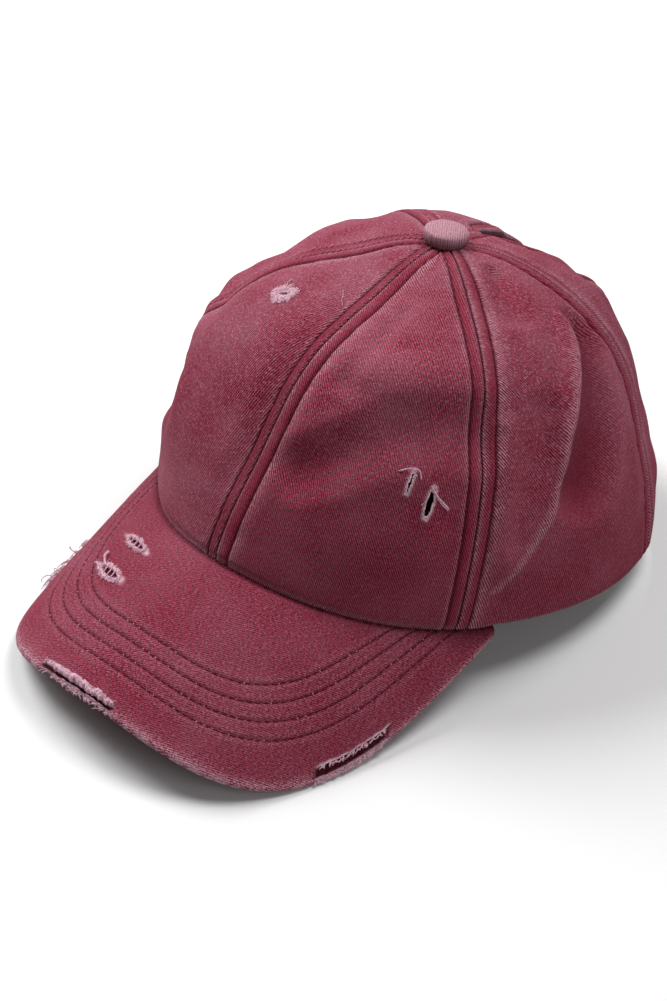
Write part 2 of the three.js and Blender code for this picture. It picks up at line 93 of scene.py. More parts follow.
# The covered button.
BUTTON_RADIUS = 7.8
BUTTON_SIDE = 2.6
BUTTON_DOME = 1.7
BUTTON_EDGE_ROUND = 0.9
BUTTON_LIFT = 0.3
BUTTON_SKIRT = 2.0

# The brim.
BRIM_LENGTH = 65.5
BRIM_HALF_WIDTH = 90.9
BRIM_CORNER_POWER = 3.4
BRIM_ARCH_RADIUS = 91.8
BRIM_SLOPE = 32.8 * DEG
BRIM_END = 71.6 * DEG
BRIM_THICKNESS = 3.2
BRIM_ROOT_FADE = 24
BRIM_ROOT_FADE_POWER = 1.6
BRIM_END_SHARE = 0.965
BRIM_ROOT_GAP = 0.3

# Stitching. Rows lie beside each seam and along the brim's edge.
SEAM_ROW = 4.7
STITCH_PITCH = 2.9
STITCH_LENGTH = 2.5
STITCH_RADIUS = 0.2
STITCH_SHARE = np.array([0.55, 0.9, 1, 1, 0.9, 0.55])
STITCH_LIFT = 0.16
STITCH_LIFT_UNDER = 0.12
STITCH_SINK = 0.22
STITCH_ARCH_POWER = 4
CROWN_ROW_RISE = (0.012, 0.93)
CROWN_ROW_SAMPLES = 220
CROWN_ROWS_MEET = 0.6
STEEP = 0.9
BRIM_ROWS_INSET = 14.6
BRIM_ROWS_APART = 5.43
BRIM_ROW_COUNT = 4
BRIM_ROW_NARROWING = 0.9
ROW_LINE_POINTS = 400
ROW_LINE_OVERLAP = 1
BRIM_STITCH_POINTS = 900

# Fullness against a plain oval dome at each sixth of the turn from the front round the wearer's left.
FULLNESS = {
    "low": [0.925, 1.07, 0.976, 1.0, 0.976, 1.067],
    "middle": [0.95, 1.1, 1.015, 1.03, 1.015, 1.053],
    "high": [0.929, 1.02, 1.015, 0.975, 1.015, 0.974],
}

# Folds and dents: turn and rise at each end in degrees and shares, then width and height as shares of
# the head's half width.
FOLDS = [
    (20, 0.55, 52, 0.52, 0.12, 0.02),
    (18, 0.16, 50, 0.28, 0.2, -0.018),
    (28, 0.7, 19, 0.5, 0.08, -0.014),
    (98, 0.62, 82, 0.42, 0.09, 0.034),
    (80, 0.36, 67, 0.1, 0.1, 0.028),
    (104.5, 0.58, 87.5, 0.29, 0.165, -0.1),
    (65, 0.42, 66.5, 0.14, 0.07, 0.022),
    (76, 0.44, 71, 0.2, 0.11, -0.04),
    (88, 0.82, 80, 0.66, 0.07, -0.018),
    (164, 0.84, 170, 0.62, 0.12, 0.014),
    (150, 0.44, 142, 0.22, 0.2, -0.03),
    (184, 0.6, 162, 0.56, 0.14, -0.03),
    (-50, 0.23, -47, 0.19, 0.14, -0.05),
    (-60, 0.36, -55, 0.34, 0.1, 0.03),
    (274, 0.52, 284, 0.2, 0.2, -0.03),
]

# Sharper creases on top of those. The first of them are also painted pale: rubbed wear and a painted
# highlight along the lit ridge.
CREASES = [
    (99, 0.62, 90, 0.54, 0.035, 0.011),
    (90, 0.54, 81, 0.41, 0.03, 0.012),
    (81, 0.41, 79, 0.325, 0.028, 0.012),
    (79, 0.325, 77, 0.26, 0.028, 0.01),
    (77, 0.26, 72.5, 0.175, 0.028, 0.008),
    (72.5, 0.175, 67, 0.09, 0.026, 0.006),
    (71, 0.63, 67, 0.5, 0.05, 0.01),
    (88, 0.84, 83, 0.76, 0.03, -0.012),
    (15, 0.275, 37, 0.4, 0.165, -0.053),
    (37, 0.4, 57, 0.415, 0.165, -0.056),
]
RUBBED_AND_LIT_CREASES = 6
FOLD_PACE = QUARTER * (CROWN_HEIGHT + HEAD_HALF_WIDTH) / 2 / HEAD_HALF_WIDTH

# Slight corrections of the cloth's outline beside the rim, in the same columns.
TRIMS = [
    (128, 0.14, 122, 0.0, 0.12, 0.008),
    (131, 0.3, 131, 0.24, 0.13, -0.015),
    (135, 0.42, 133, 0.34, 0.14, -0.058),
    (141, 0.54, 138, 0.48, 0.13, -0.02),
    (166, 0.64, 158, 0.6, 0.14, -0.012),
    (-164, 0.58, -168, 0.56, 0.12, -0.012),
    (-98, 0.65, -78, 0.55, 0.2, -0.037),
    (-71, 0.39, -66, 0.37, 0.11, 0.027),
    (-58, 0.24, -56, 0.18, 0.13, -0.024),
    (-50, 0.12, -46, 0.04, 0.1, 0.005),
]
TRIM_FADE = 0.02
APEX_DIP = 2.2
APEX_DIP_WIDTH = 11

# Slits through the panels, in shares of the head's half width, leaning towards the wearer's left.
SLIT_COLUMNS = ("panel", "turn", "rise", "length", "width", "lean")
SLITS = [
    ("panel_front_right", -35.8, 0.578, 0.05, 0.014, 38),
    ("panel_front_left", 44.6, 0.315, 0.085, 0.006, 10),
    ("panel_front_left", 49.5, 0.278, 0.122, 0.021, 8),
]
SLIT_REACH = 4.5
SLIT_COLUMN = 0.35
SLIT_LIP = 0.5
SLIT_LIP_WIDTH = 0.9
SLIT_LIP_LEAST = 0.6
SLIT_LIP_ROUGH = 0.8
SLIT_LIP_ROUGH_SIZE = 1.3
SLIT_FRAY_WIDTH = 0.75

PANEL_COLUMNS = ("node", "start", "end", "opening", "twill", "start_row", "end_row")
PANELS = [
    ("panel_front_left", 0, SIDE_FRONT_SEAM, None, -60, 5.2, 4.3),
    ("panel_side_left", SIDE_FRONT_SEAM, SIDE_BACK_SEAM, None, -60, 4.3, 4.4),
    ("panel_back_left", SIDE_BACK_SEAM, np.pi, "end", -60, 4.4, 4.6),
    ("panel_back_right", -np.pi, -SIDE_BACK_SEAM, "start", -50, 4.6, 4.4),
    ("panel_side_right", -SIDE_BACK_SEAM, -SIDE_FRONT_SEAM, None, -50, 4.4, 4.4),
    ("panel_front_right", -SIDE_FRONT_SEAM, 0, None, 88, 4.4, 3.9),
]
ROW_TAPER_RISE = (0.72, 0.97)
ROW_TAPER = 0.3

# Distances from a seam at which a panel's mesh has columns, and the counts between them.
SEAM_STEPS = [
    0.04, 0.25, 0.45, 0.7, 1.1, 1.7, 2.4, 3.1, 3.7, 4.1,
    4.4, 4.7, 5.0, 5.3, 5.7, 6.3, 7.2, 8.6, 10.6, 13,
]
SEAM_STEPS_SHARE = 0.42
MIDDLE_COLUMNS = 78
MIDDLE_COLUMNS_TORN = 96
PANEL_ROWS = 165
PANEL_ROWS_TORN = 200

rng = np.random.default_rng(20)
LATTICE_SIZE = 32
LATTICE = rng.random((LATTICE_SIZE, LATTICE_SIZE, LATTICE_SIZE))


def smooth(value, low, high):
    share = np.clip((value - low) / (high - low), 0, 1)
    return share * share * (3 - 2 * share)


def bell(distance, width):
    return np.exp(-((distance / width) ** 2))


def between(value, rising, falling):
    """1 between two ramps, each given by where it starts and ends."""
    return smooth(value, *rising) * (1 - smooth(value, *falling))


def unit(vectors):
    return vectors / np.maximum(np.linalg.norm(vectors, axis=-1, keepdims=True), TINY)


def triples(first, second, third=0.0):
    """Three values of each place side by side."""
    return np.stack(np.broadcast_arrays(first, second, np.asarray(third, float)), -1)


def noise(points, size):
    """Smooth noise from -1 to 1 at points in millimetres, with bumps of the given size."""
    scaled = np.asarray(points, float) / size
    cell = np.floor(scaled).astype(int)
    share = scaled - cell
    share = share * share * (3 - 2 * share)
    total = 0
    for corner in np.ndindex(2, 2, 2):
        weight = 1
        for axis in range(3):
            weight = weight * (share[..., axis] if corner[axis] else 1 - share[..., axis])
        place = [(cell[..., axis] + corner[axis]) % LATTICE_SIZE for axis in range(3)]
        total = total + weight * LATTICE[place[0], place[1], place[2]]
    return 2 * total - 1


def uneven(points, layers):
    """Several layers of noise together, each a size and a height."""
    return sum(height * noise(points, size) for size, height in layers)


def patches(points, size, low, high):
    """0 to 1 in soft patches of the given size."""
    return smooth(noise(points, size), low, high)


# The cap's frame, read from the mount at the middle of its rim.
mount = frame["record"]["mounts"][0]
RIM_CENTRE = np.array(mount["pos_m"])
CAP_UP = unit(-np.array(mount["axis"]))
CAP_RIGHT = np.array([1.0, 0, 0])
CAP_AXES = np.array([CAP_RIGHT, np.cross(CAP_UP, CAP_RIGHT), CAP_UP])


def placed(points):
    """Points of the cap's own frame, in millimetres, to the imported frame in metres."""
    return RIM_CENTRE + (np.asarray(points) * MM) @ CAP_AXES


# The crown's form.
def rim_point(turn):
    width = HEAD_HALF_WIDTH * (1 - FRONT_NARROWING * np.cos(turn))
    rise = FRONT_RISE * np.maximum(np.cos(turn), 0) ** FRONT_RISE_POWER
    return np.stack([width * np.sin(turn), -HEAD_HALF_LENGTH * np.cos(turn), rise], -1)


def spline(before, start, end, after, share):
    square = (2 * before - 5 * start + 4 * end - after) * share**2
    cube = (3 * start - before - 3 * end + after) * share**3
    return 0.5 * (2 * start + (end - before) * share + square + cube)


def fullness(turn, angle):
    """The dome's reach as a share of a plain one's, by turn and angle up, through the table's values."""
    place = turn / SIXTH
    first = np.floor(place).astype(int)
    around = {}
    for name, column in FULLNESS.items():
        values = np.array(column)
        near = [values[(first + index) % len(values)] for index in (-1, 0, 1, 2)]
        around[name] = spline(*near, place - first)
    one = np.ones_like(place)
    low = around["low"]
    knots = np.stack([2 - low, one, low, around["middle"], around["high"], one, around["high"]])
    height = HEIGHT_SPANS * angle / QUARTER
    knot = np.clip(np.floor(height).astype(int), 0, HEIGHT_SPANS - 1)
    near = [np.take_along_axis(knots, (knot + index)[None], 0)[0] for index in range(4)]
    return spline(*near, height - knot)


def dome_point(turn, rise):
    turn, rise = np.broadcast_arrays(np.asarray(turn, float), np.asarray(rise, float))
    angle = rise * QUARTER
    radius = fullness(turn, angle)
    inward = (radius * np.cos(angle))[..., None]
    upward = (radius * np.sin(angle))[..., None]
    rim = rim_point(turn)
    apex = np.array([0, APEX_SET_BACK, CROWN_HEIGHT])
    flat = rim * np.array([1, 1, 0]) * inward + apex * np.array([0, 1, 0]) * upward
    return flat + rim * np.array([0, 0, 1]) * (1 - upward) + apex * np.array([0, 0, 1]) * upward


def dome_normal(turn, rise):
    along = dome_point(turn + STEP, rise) - dome_point(turn - STEP, rise)
    up = dome_point(turn, np.minimum(rise + STEP, 1)) - dome_point(turn, rise - STEP)
    normal = unit(np.cross(along, up))
    normal[..., 2] *= smooth(np.asarray(rise, float), 0, LEVEL_RISE)
    return unit(normal)


def girth(turn, rise):
    """Millimetres along the dome for each radian of turn."""
    along = dome_point(turn + STEP, rise) - dome_point(turn - STEP, rise)
    return np.maximum(np.linalg.norm(along, axis=-1) / (2 * STEP), LEAST_GIRTH)


def climb(turn, rise):
    """Millimetres up the dome for the whole rise at this pace."""
    up = dome_point(turn, rise + STEP) - dome_point(turn, rise - STEP)
    return np.linalg.norm(up, axis=-1) / (2 * STEP)


def above_rim(turn, rise):
    """Millimetres up the cloth from the rim."""
    return rise * climb(turn, RIM_PACE_RISE)


def wrap(turn):
    return (turn + 3 * np.pi) % (2 * np.pi) - np.pi


def fold_closeness(fold, turn, rise):
    """1 on a fold's line, falling to 0 at its width."""
    start_turn, start_rise, end_turn, end_rise, width, _ = fold
    shrink = np.cos((start_rise + end_rise) / 2 * QUARTER)
    across = wrap(turn - start_turn * DEG) * shrink
    upward = (rise - start_rise) * FOLD_PACE
    line = np.array([(end_turn - start_turn) * DEG * shrink, (end_rise - start_rise) * FOLD_PACE])
    share = np.clip((across * line[0] + upward * line[1]) / (line @ line), 0, 1)
    distance = np.hypot(across - share * line[0], upward - share * line[1])
    near = np.maximum(1 - (distance / width) ** 2, 0)
    return near * near


def fold_heights(folds, turn, rise):
    return [fold[-1] * fold_closeness(fold, turn, rise) for fold in folds]


def relief(panel, turn, rise):
    """The puff, folds, creases and outline corrections of a panel, in millimetres off the dome."""
    start, end = panel["start"], panel["end"]
    radius = HEAD_HALF_WIDTH * np.cos(rise * QUARTER)
    from_seam = np.minimum(np.abs(turn - start), np.abs(end - turn)) * radius
    half_panel = (end - start) / 2 * radius
    puff = PANEL_PUFF * smooth(from_seam, PUFF_START, PUFF_FULL)
    puff = puff * smooth(half_panel, PUFF_START, 2 * PUFF_FULL)
    creases = fold_heights(CREASES, turn, rise)
    folds = sum(fold_heights(FOLDS, turn, rise)) + np.max(creases, 0) + np.min(creases, 0)
    folded = (puff + folds * HEAD_HALF_WIDTH) * smooth(rise, RIM_PLAIN_RISE, RIM_FOLDED_RISE)
    trims = sum(fold_heights(TRIMS, turn, rise))
    return folded + trims * HEAD_HALF_WIDTH * smooth(rise, 0, TRIM_FADE)


def opening_turn(rise):
    """The angle from the back seam's line to the edge of the ponytail opening."""
    share = np.maximum(rise, 0) / OPENING_TOP_RISE
    width = OPENING_HALF_WIDTH * np.sqrt(np.maximum(1 - share**OPENING_POWER, 0))
    return np.arcsin(np.clip(width / (HEAD_HALF_WIDTH * np.cos(rise * QUARTER)), 0, 1))


def panel_edges(panel, rise):
    opening = opening_turn(rise)
    start = panel["start"] + (opening if panel["opening"] == "start" else 0 * opening)
    end = panel["end"] - (opening if panel["opening"] == "end" else 0 * opening)
    return start, end


def width_between(start, end, rise):
    """Millimetres along the dome from one turn to another."""
    return (end - start) * (girth(start, rise) + girth(end, rise)) / 2


def row_distance_at(panel, starts, rise):
    """How far a stitch row lies from its seam. The rows close up towards the button."""
    row = np.where(starts, panel["start_row"], panel["end_row"])
    return row * (1 - ROW_TAPER * smooth(rise, *ROW_TAPER_RISE))


def seam_distance(panel, turn, rise):
    """Distance from the nearest side edge of a panel, in which its stitch row lies at SEAM_ROW.

    Also tells whether that edge starts the panel.
    """
    start, end = panel_edges(panel, rise)
    from_start = (turn - start) * girth(start, rise)
    from_end = (end - turn) * girth(end, rise)
    starts = from_start < from_end
    distance = np.minimum(from_start, from_end)
    row = row_distance_at(panel, starts, rise)
    within = distance * SEAM_ROW / row
    return np.where(distance < row, within, distance - row + SEAM_ROW), starts


# The cloth beside a seam, by distance from it in millimetres: the groove, the raised join and strip, the
# valley of the stitch row, and the swelling and puckers beyond it.
SEAM_GROOVE = 0.5
SEAM_GROOVE_WIDTH = 0.35
JOIN_RAISE = 0.18
JOIN_PLACE = 0.6
JOIN_WIDTH = 0.5
STRIP_RAISE = 0.34
STRIP_RAMPS = ((0.3, 1.3), (SEAM_ROW - 1.2, SEAM_ROW))
ROW_VALLEY = 0.42
ROW_VALLEY_WIDTH = 0.55
OUTER_RAISE = 0.28
OUTER_RAMPS = ((SEAM_ROW, SEAM_ROW + 1.4), (SEAM_ROW + 2, SEAM_ROW + 9))
PUCKER = 0.3
PUCKER_SIZE = 3.4
PUCKER_PLACE = SEAM_ROW + 1.2
PUCKER_WIDTH = 2.6

# Wrinkles, each a size and a height, and where they and the seams' relief begin above the rim. The rim
# itself rolls in.
WRINKLES = ((26, 0.55), (11, 0.22), (4.5, 0.08))
WRINKLE_RISE = (0.01, 0.12)
SEAM_RISE = (-0.02, 0.02)
RIM_ROLL = 0.9
RIM_ROLL_HEIGHT = 2.2


def seam_height(distance, starts, points):
    """The relief of the cloth beside a seam. The join is raised on the side that starts a panel."""
    groove = -SEAM_GROOVE * bell(distance, SEAM_GROOVE_WIDTH)
    join = JOIN_RAISE * bell(distance - JOIN_PLACE, JOIN_WIDTH) * starts
    strip = STRIP_RAISE * between(distance, *STRIP_RAMPS)
    valley = -ROW_VALLEY * bell(distance - SEAM_ROW, ROW_VALLEY_WIDTH)
    outer = OUTER_RAISE * between(distance, *OUTER_RAMPS)
    pucker = PUCKER * noise(points, PUCKER_SIZE) * bell(distance - PUCKER_PLACE, PUCKER_WIDTH)
    return groove + join + strip + valley + outer + pucker


def cloth_point(panel, turn, rise, depth=0.0):
    """A point of a panel's cloth, at a depth in from its outer face."""
    turn, rise = np.broadcast_arrays(np.asarray(turn, float), np.asarray(rise, float))
    distance, starts = seam_distance(panel, turn, rise)
    dome = dome_point(turn, rise)
    height = relief(panel, turn, rise) + uneven(dome, WRINKLES) * smooth(rise, *WRINKLE_RISE)
    height = height + seam_height(distance, starts, dome) * smooth(rise, *SEAM_RISE)
    height = height - APEX_DIP * bell((1 - rise) * QUARTER * HEAD_HALF_WIDTH, APEX_DIP_WIDTH)
    height = height - RIM_ROLL * (1 - smooth(above_rim(turn, rise), 0, RIM_ROLL_HEIGHT))
    return dome + dome_normal(turn, rise) * (height - depth)[..., None]


def row_dicts(rows, columns):
    return [dict(zip(columns, row)) for row in rows]


PANELS_BY_NODE = {panel["node"]: panel for panel in row_dicts(PANELS, PANEL_COLUMNS)}
SLIT_LIST = row_dicts(SLITS, SLIT_COLUMNS)


# Meshes.
def grid_faces(columns, rows):
    """Quads of a grid of points, columns by rows, with the columns running fastest."""
    first = np.arange(rows - 1)[:, None] * columns + np.arange(columns - 1)
    return np.stack([first, first + 1, first + columns + 1, first + columns], -1)


def add_mesh(name, points, faces, marks, slot, replaced=(), sharp=60):
    """A piece from points in the cap's frame. marks holds the values that its material reads."""
    mesh = bpy.data.meshes.new(name)
    world = placed(points)
    mesh.from_pydata(world.tolist(), [], [list(map(int, face)) for face in faces])
    for mark, values in marks.items():
        kind = "FLOAT_VECTOR" if np.ndim(values) == 2 else "FLOAT"
        attribute = mesh.attributes.new(mark, kind, "POINT")
        key = "vector" if kind == "FLOAT_VECTOR" else "value"
        attribute.data.foreach_set(key, np.asarray(values, np.float32).ravel())
    mesh.shade_smooth()
    if sharp:
        mesh.set_sharp_from_angle(angle=sharp * DEG)
    mesh.materials.append(MATERIALS[slot])
    piece = bpy.data.objects.new(name, mesh)
    bpy.context.scene.collection.objects.link(piece)
    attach(piece, "root")
    if replaced:
        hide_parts(*replaced)
    return piece


def shell_faces(columns, rows, kept):
    """Faces of two equal grids, outer then inner, closed along every edge of the kept quads."""
    quads = grid_faces(columns, rows)
    count = columns * rows
    outer = quads[kept]
    inner = quads[kept][:, ::-1] + count
    walls = []
    padded = np.pad(kept, 1)
    sides = ((0, -1, 0, 1), (1, 0, 1, 2), (0, 1, 2, 3), (-1, 0, 3, 0))
    for column_step, row_step, first, second in sides:
        rows_slice = slice(1 + row_step, 1 + row_step + rows - 1)
        columns_slice = slice(1 + column_step, 1 + column_step + columns - 1)
        open_side = kept & ~padded[rows_slice, columns_slice]
        edge = quads[open_side]
        a, b = edge[:, first], edge[:, second]
        walls.append(np.stack([b, a, a + count, b + count], -1))
    return np.concatenate([outer, inner, *walls])


def listed(values):
    """A grid of values or of points as one list."""
    return values.reshape(-1, 3) if values.ndim == 3 else values.ravel()


def both_faces(outer, inner):
    return np.concatenate([listed(outer), listed(inner)])


def add_sheet(name, top, under, marks, slot, replaced=()):
    """A closed piece from the grids of its two faces, which carry the same marks."""
    rows, columns = top.shape[:2]
    faces = shell_faces(columns, rows, np.ones((rows - 1, columns - 1), bool))
    marks = {mark: both_faces(values, values) for mark, values in marks.items()}
    add_mesh(name, both_faces(top, under), faces, marks, slot, replaced)


def used_only(points, faces, marks):
    """Drops the points that no face uses."""
    used = np.unique(faces)
    renumber = np.zeros(len(points), int)
    renumber[used] = np.arange(len(used))
    marks = {name: values[used] for name, values in marks.items()}
    return points[used], renumber[faces], marks


def column_turns(panel, rises, middle_count):
    """The turns of a panel's columns on each row, close together beside its seams."""
    start, end = panel_edges(panel, rises)
    steps = np.array(SEAM_STEPS)
    width = width_between(start, end, rises)
    turns = []
    for edge, sign in ((start, 1), (end, -1)):
        row = row_distance_at(panel, sign > 0, rises)[:, None]
        places = np.where(steps < SEAM_ROW, steps * row / SEAM_ROW, steps - SEAM_ROW + row)
        squeeze = np.minimum(1, SEAM_STEPS_SHARE * width[:, None] / places[:, -1:])
        turns.append(edge[:, None] + sign * squeeze * places / girth(edge, rises)[:, None])
    left, right = turns[0], turns[1][:, ::-1]
    share = np.linspace(0, 1, middle_count + 2)[1:-1]
    middle = left[:, -1:] + (right[:, :1] - left[:, -1:]) * share
    return np.concatenate([left, middle, right], 1)


def slit_axes(slit, turn, rise):
    """Millimetres across and along a slit from its middle."""
    slit_turn = slit["turn"] * DEG
    lean = slit["lean"] * DEG
    right = (turn - slit_turn) * girth(slit_turn, slit["rise"])
    up = (rise - slit["rise"]) * climb(slit_turn, slit["rise"])
    return right * np.cos(lean) - up * np.sin(lean), right * np.sin(lean) + up * np.cos(lean)


def leaning(across, along, lean):
    """Millimetres right and up for places across and along something that leans to the right."""
    lean = lean * DEG
    return across * np.cos(lean) + along * np.sin(lean), along * np.cos(lean) - across * np.sin(lean)


def slit_places(slit, across, along):
    """The turn and rise of places given across and along a slit."""
    slit_turn = slit["turn"] * DEG
    right, up = leaning(across, along, slit["lean"])
    turn = slit_turn + right / girth(slit_turn, slit["rise"])
    return turn, slit["rise"] + up / climb(slit_turn, slit["rise"])


def slit_half_width(slit, along):
    length = slit["length"] * HEAD_HALF_WIDTH
    width = slit["width"] * HEAD_HALF_WIDTH
    return width / 2 * np.sqrt(np.maximum(1 - (2 * along / length) ** 2, 0))


# Rubbed and red places of the cloth and painted shade at its seams, by distance from a seam in
# millimetres.
# Two values together are for the side that starts a panel and the side that ends it.
STRIP_MARK_RAMPS = ((0.4, 3.0), (SEAM_ROW - 0.2, SEAM_ROW + 0.5))
RUBBED_START = (SEAM_ROW + 0.2, SEAM_ROW + 0.8)
RUBBED_REACH = (5.0, 2.6)
RUBBED_FADE = (0.16, 1.1)
RUBBED_WEAR = (0.85, 0.55)
PATCHY_SIZE = 9
PATCHY_LEAST = 0.3
JOIN_WEAR = 0.4
JOIN_WEAR_PLACE = 0.7
JOIN_WEAR_WIDTH = 0.35
BESIDE_JOIN_WEAR = (0.35, 0.1)
BESIDE_JOIN_PLACE = 1.2
BESIDE_JOIN_WIDTH = 1.5
BESIDE_JOIN_PATCHES = (13, -0.5, 0.5)
CREASE_WEAR_AND_HIGHLIGHT = 0.7
RIM_WEAR = 0.5
RIM_WEAR_WIDTH = 1.1
HEM_WEAR = 0.9
HEM_WEAR_WIDTH = 0.9
ROW_SHADE = 0.9
ROW_SHADE_WIDTH = 0.42
SEAM_SHADE_WIDTH = 0.3

# Painted shade: the inner face and the hollows of the deepest folds are darkened, and the lower cloth
# and those hollows keep a deeper, less washed red, more on the wearer's left, away from the key light.
INSIDE_PAINTED_SHADE = 0.8
HOLLOWS = [fold for fold in FOLDS if fold[-1] < -0.08]
HOLLOW_SHADE = 5.2
HOLLOW_PAINTED_SATURATION = 6.0
LOW_PAINTED_SATURATION = 0.5
LOW_PAINTED_SATURATION_RIGHT = 0.15
LOW_PAINTED_SATURATION_RISE = (0.08, 0.5)
MOST_PAINTED_SATURATION = 0.8
WEAVE_APART = 40


def on_twill(across, upward, angle, apart):
    """Places on the twill's own axes, set apart from those of other pieces."""
    ribs = across * np.sin(angle) - upward * np.cos(angle)
    threads = across * np.cos(angle) + upward * np.sin(angle)
    return triples(ribs, threads, apart)


def panel_marks(panel, turn, rise, points):
    """How worn and red the cloth is, its painted shade, and its own axes, for its material."""
    distance, starts = seam_distance(panel, turn, rise)
    middle = (panel["start"] + panel["end"]) / 2
    fade = 1 - smooth((distance - SEAM_ROW) / np.where(starts, *RUBBED_REACH), *RUBBED_FADE)
    rubbed = smooth(distance, *RUBBED_START) * fade * np.where(starts, *RUBBED_WEAR)
    patchy = 0.5 + 0.5 * noise(points, PATCHY_SIZE)
    beside_join = bell(distance - BESIDE_JOIN_PLACE, BESIDE_JOIN_WIDTH)
    # The first creases are painted pale: rubbed wear and a painted highlight along the lit ridge.
    creases = [fold_closeness(fold, turn, rise) for fold in CREASES[:RUBBED_AND_LIT_CREASES]]
    wear = rubbed * (PATCHY_LEAST + (1 - PATCHY_LEAST) * patchy)
    wear = wear + CREASE_WEAR_AND_HIGHLIGHT * np.max(creases, 0)
    wear = wear + RIM_WEAR * bell(above_rim(turn, rise), RIM_WEAR_WIDTH)
    wear = wear + JOIN_WEAR * bell(distance - JOIN_WEAR_PLACE, JOIN_WEAR_WIDTH) * starts
    wear = wear + beside_join * patches(points, *BESIDE_JOIN_PATCHES) * np.where(starts, *BESIDE_JOIN_WEAR)
    if panel["opening"]:
        by_opening = turn > middle if panel["opening"] == "end" else turn < middle
        wear = wear + HEM_WEAR * bell(distance, HEM_WEAR_WIDTH) * by_opening
    # Painted shade in the hollows of the deepest folds.
    hollow = np.max([-height for height in fold_heights(HOLLOWS, turn, rise)], 0)
    painted_shade = ROW_SHADE * bell(distance - SEAM_ROW, ROW_SHADE_WIDTH) + bell(distance, SEAM_SHADE_WIDTH)
    # Painted shade: a deeper, less washed red low on the cloth, less on the lit right side.
    low_painted_saturation = np.where(turn > 0, LOW_PAINTED_SATURATION, LOW_PAINTED_SATURATION_RIGHT) * (1 - smooth(rise, *LOW_PAINTED_SATURATION_RISE))
    across = (turn - middle) * girth(turn, rise)
    apart = panel["start"] * WEAVE_APART
    return {
        "cloth": on_twill(across, rise * CROWN_CLIMB, panel["twill"] * DEG, apart),
        "wear": np.clip(wear, 0, 1),
        "strip": between(distance, *STRIP_MARK_RAMPS),
        "painted_shade": np.clip(painted_shade + HOLLOW_SHADE * hollow, 0, 1),
        "painted_shade_saturation": np.clip(low_painted_saturation + HOLLOW_PAINTED_SATURATION * hollow, 0, MOST_PAINTED_SATURATION),
    }


# Over the brim the wall's lower edge is tucked a little below the rim, into the crevice.
RIM_TUCK = 0.006
RIM_TUCK_RISE = 0.04
RIM_TUCK_TURNS = (BRIM_END - 0.12, BRIM_END - 0.02)


def tucked(turn, rise):
    over_brim = 1 - smooth(np.abs(wrap(turn)), *RIM_TUCK_TURNS)
    return rise - RIM_TUCK * over_brim * (1 - smooth(rise, 0, RIM_TUCK_RISE))


def corners_of(values):
    """The values at the four corners of each quad of a grid."""
    return np.stack([values[:-1, :-1], values[:-1, 1:], values[1:, 1:], values[1:, :-1]])


def make_panel(panel):
    """A panel's cloth. Its slits are opened where two columns of its mesh meet."""
    slits = [slit for slit in SLIT_LIST if slit["panel"] == panel["node"]]
    row_count = PANEL_ROWS_TORN if slits else PANEL_ROWS
    rises = np.linspace(0, TOP_RISE, row_count)
    turn = column_turns(panel, rises, MIDDLE_COLUMNS_TORN if slits else MIDDLE_COLUMNS)
    columns = turn.shape[1]
    rise = np.repeat(rises[:, None], columns, 1)
    kept = np.ones((row_count - 1, columns - 1), bool)
    lift = np.zeros_like(turn)
    fray = np.zeros_like(turn)
    for slit in slits:
        across, along = slit_axes(slit, turn, rise)
        half_length = slit["length"] * HEAD_HALF_WIDTH / 2
        side = across > 0
        inside = np.abs(along) < half_length
        sides = corners_of(side)
        kept &= ~((sides.any(0) & ~sides.all(0)) & corners_of(inside).all(0))
        opened = slit_half_width(slit, along)
        near = np.abs(across) < SLIT_REACH
        beside = np.maximum(np.abs(across) - SLIT_COLUMN, 0) * SLIT_REACH / (SLIT_REACH - SLIT_COLUMN)
        moved = opened + beside * (1 - opened / SLIT_REACH)
        across = np.where(near, np.where(side, moved, -moved), across)
        new_turn, new_rise = slit_places(slit, across, along)
        turn = np.where(near & inside, new_turn, turn)
        rise = np.where(near & inside, new_rise, rise)
        beyond = np.maximum(np.abs(along) - half_length, 0)
        edge = np.hypot(np.maximum(np.abs(across) - opened, 0), beyond)
        rough = SLIT_LIP_LEAST + SLIT_LIP_ROUGH * noise(dome_point(turn, rise), SLIT_LIP_ROUGH_SIZE)
        lift += SLIT_LIP * bell(edge, SLIT_LIP_WIDTH) * rough
        fray += bell(edge, SLIT_FRAY_WIDTH)
    rise = tucked(turn, rise)
    outer = cloth_point(panel, turn, rise, -lift)
    inner = cloth_point(panel, turn, rise, CLOTH - lift)
    marks = panel_marks(panel, turn, rise, outer)
    marks["fray"] = np.clip(fray, 0, 1)
    # The inner face has no wear and carries painted shade.
    inside_marks = dict(marks, wear=0 * fray, painted_shade=np.full_like(fray, INSIDE_PAINTED_SHADE))
    marks = {mark: both_faces(values, inside_marks[mark]) for mark, values in marks.items()}
    faces = shell_faces(columns, row_count, kept)
    points, faces, marks = used_only(both_faces(outer, inner), faces, marks)
    add_mesh(panel["node"] + "_cloth", points, faces, marks, "crown_twill", [panel["node"]])


# The tapes that cover the seams inside, in light painted shade, and the near-black patches behind the
# slits, painted shadow for the dark inside of the cap seen through them.
TAPE_HALF_WIDTH = 4.5
TAPE_THICKNESS = 0.3
TAPE_GAP = 0.06
TAPE_END_GAP = 0.006
TAPE_OPENING_GAP = 0.01
TAPE_SQUEEZE = 0.45
# Painted shade on the tapes, which lie inside the crown.
TAPE_SHADE = 0.3
TAPE_WEAVE = 200
TAPE_COLUMNS = 13
TAPE_ROWS = 90
PATCH_WEAVE = 300
PATCH_MARGIN = 3.5
PATCH_GAP = 0.9
PATCH_STEPS = 15


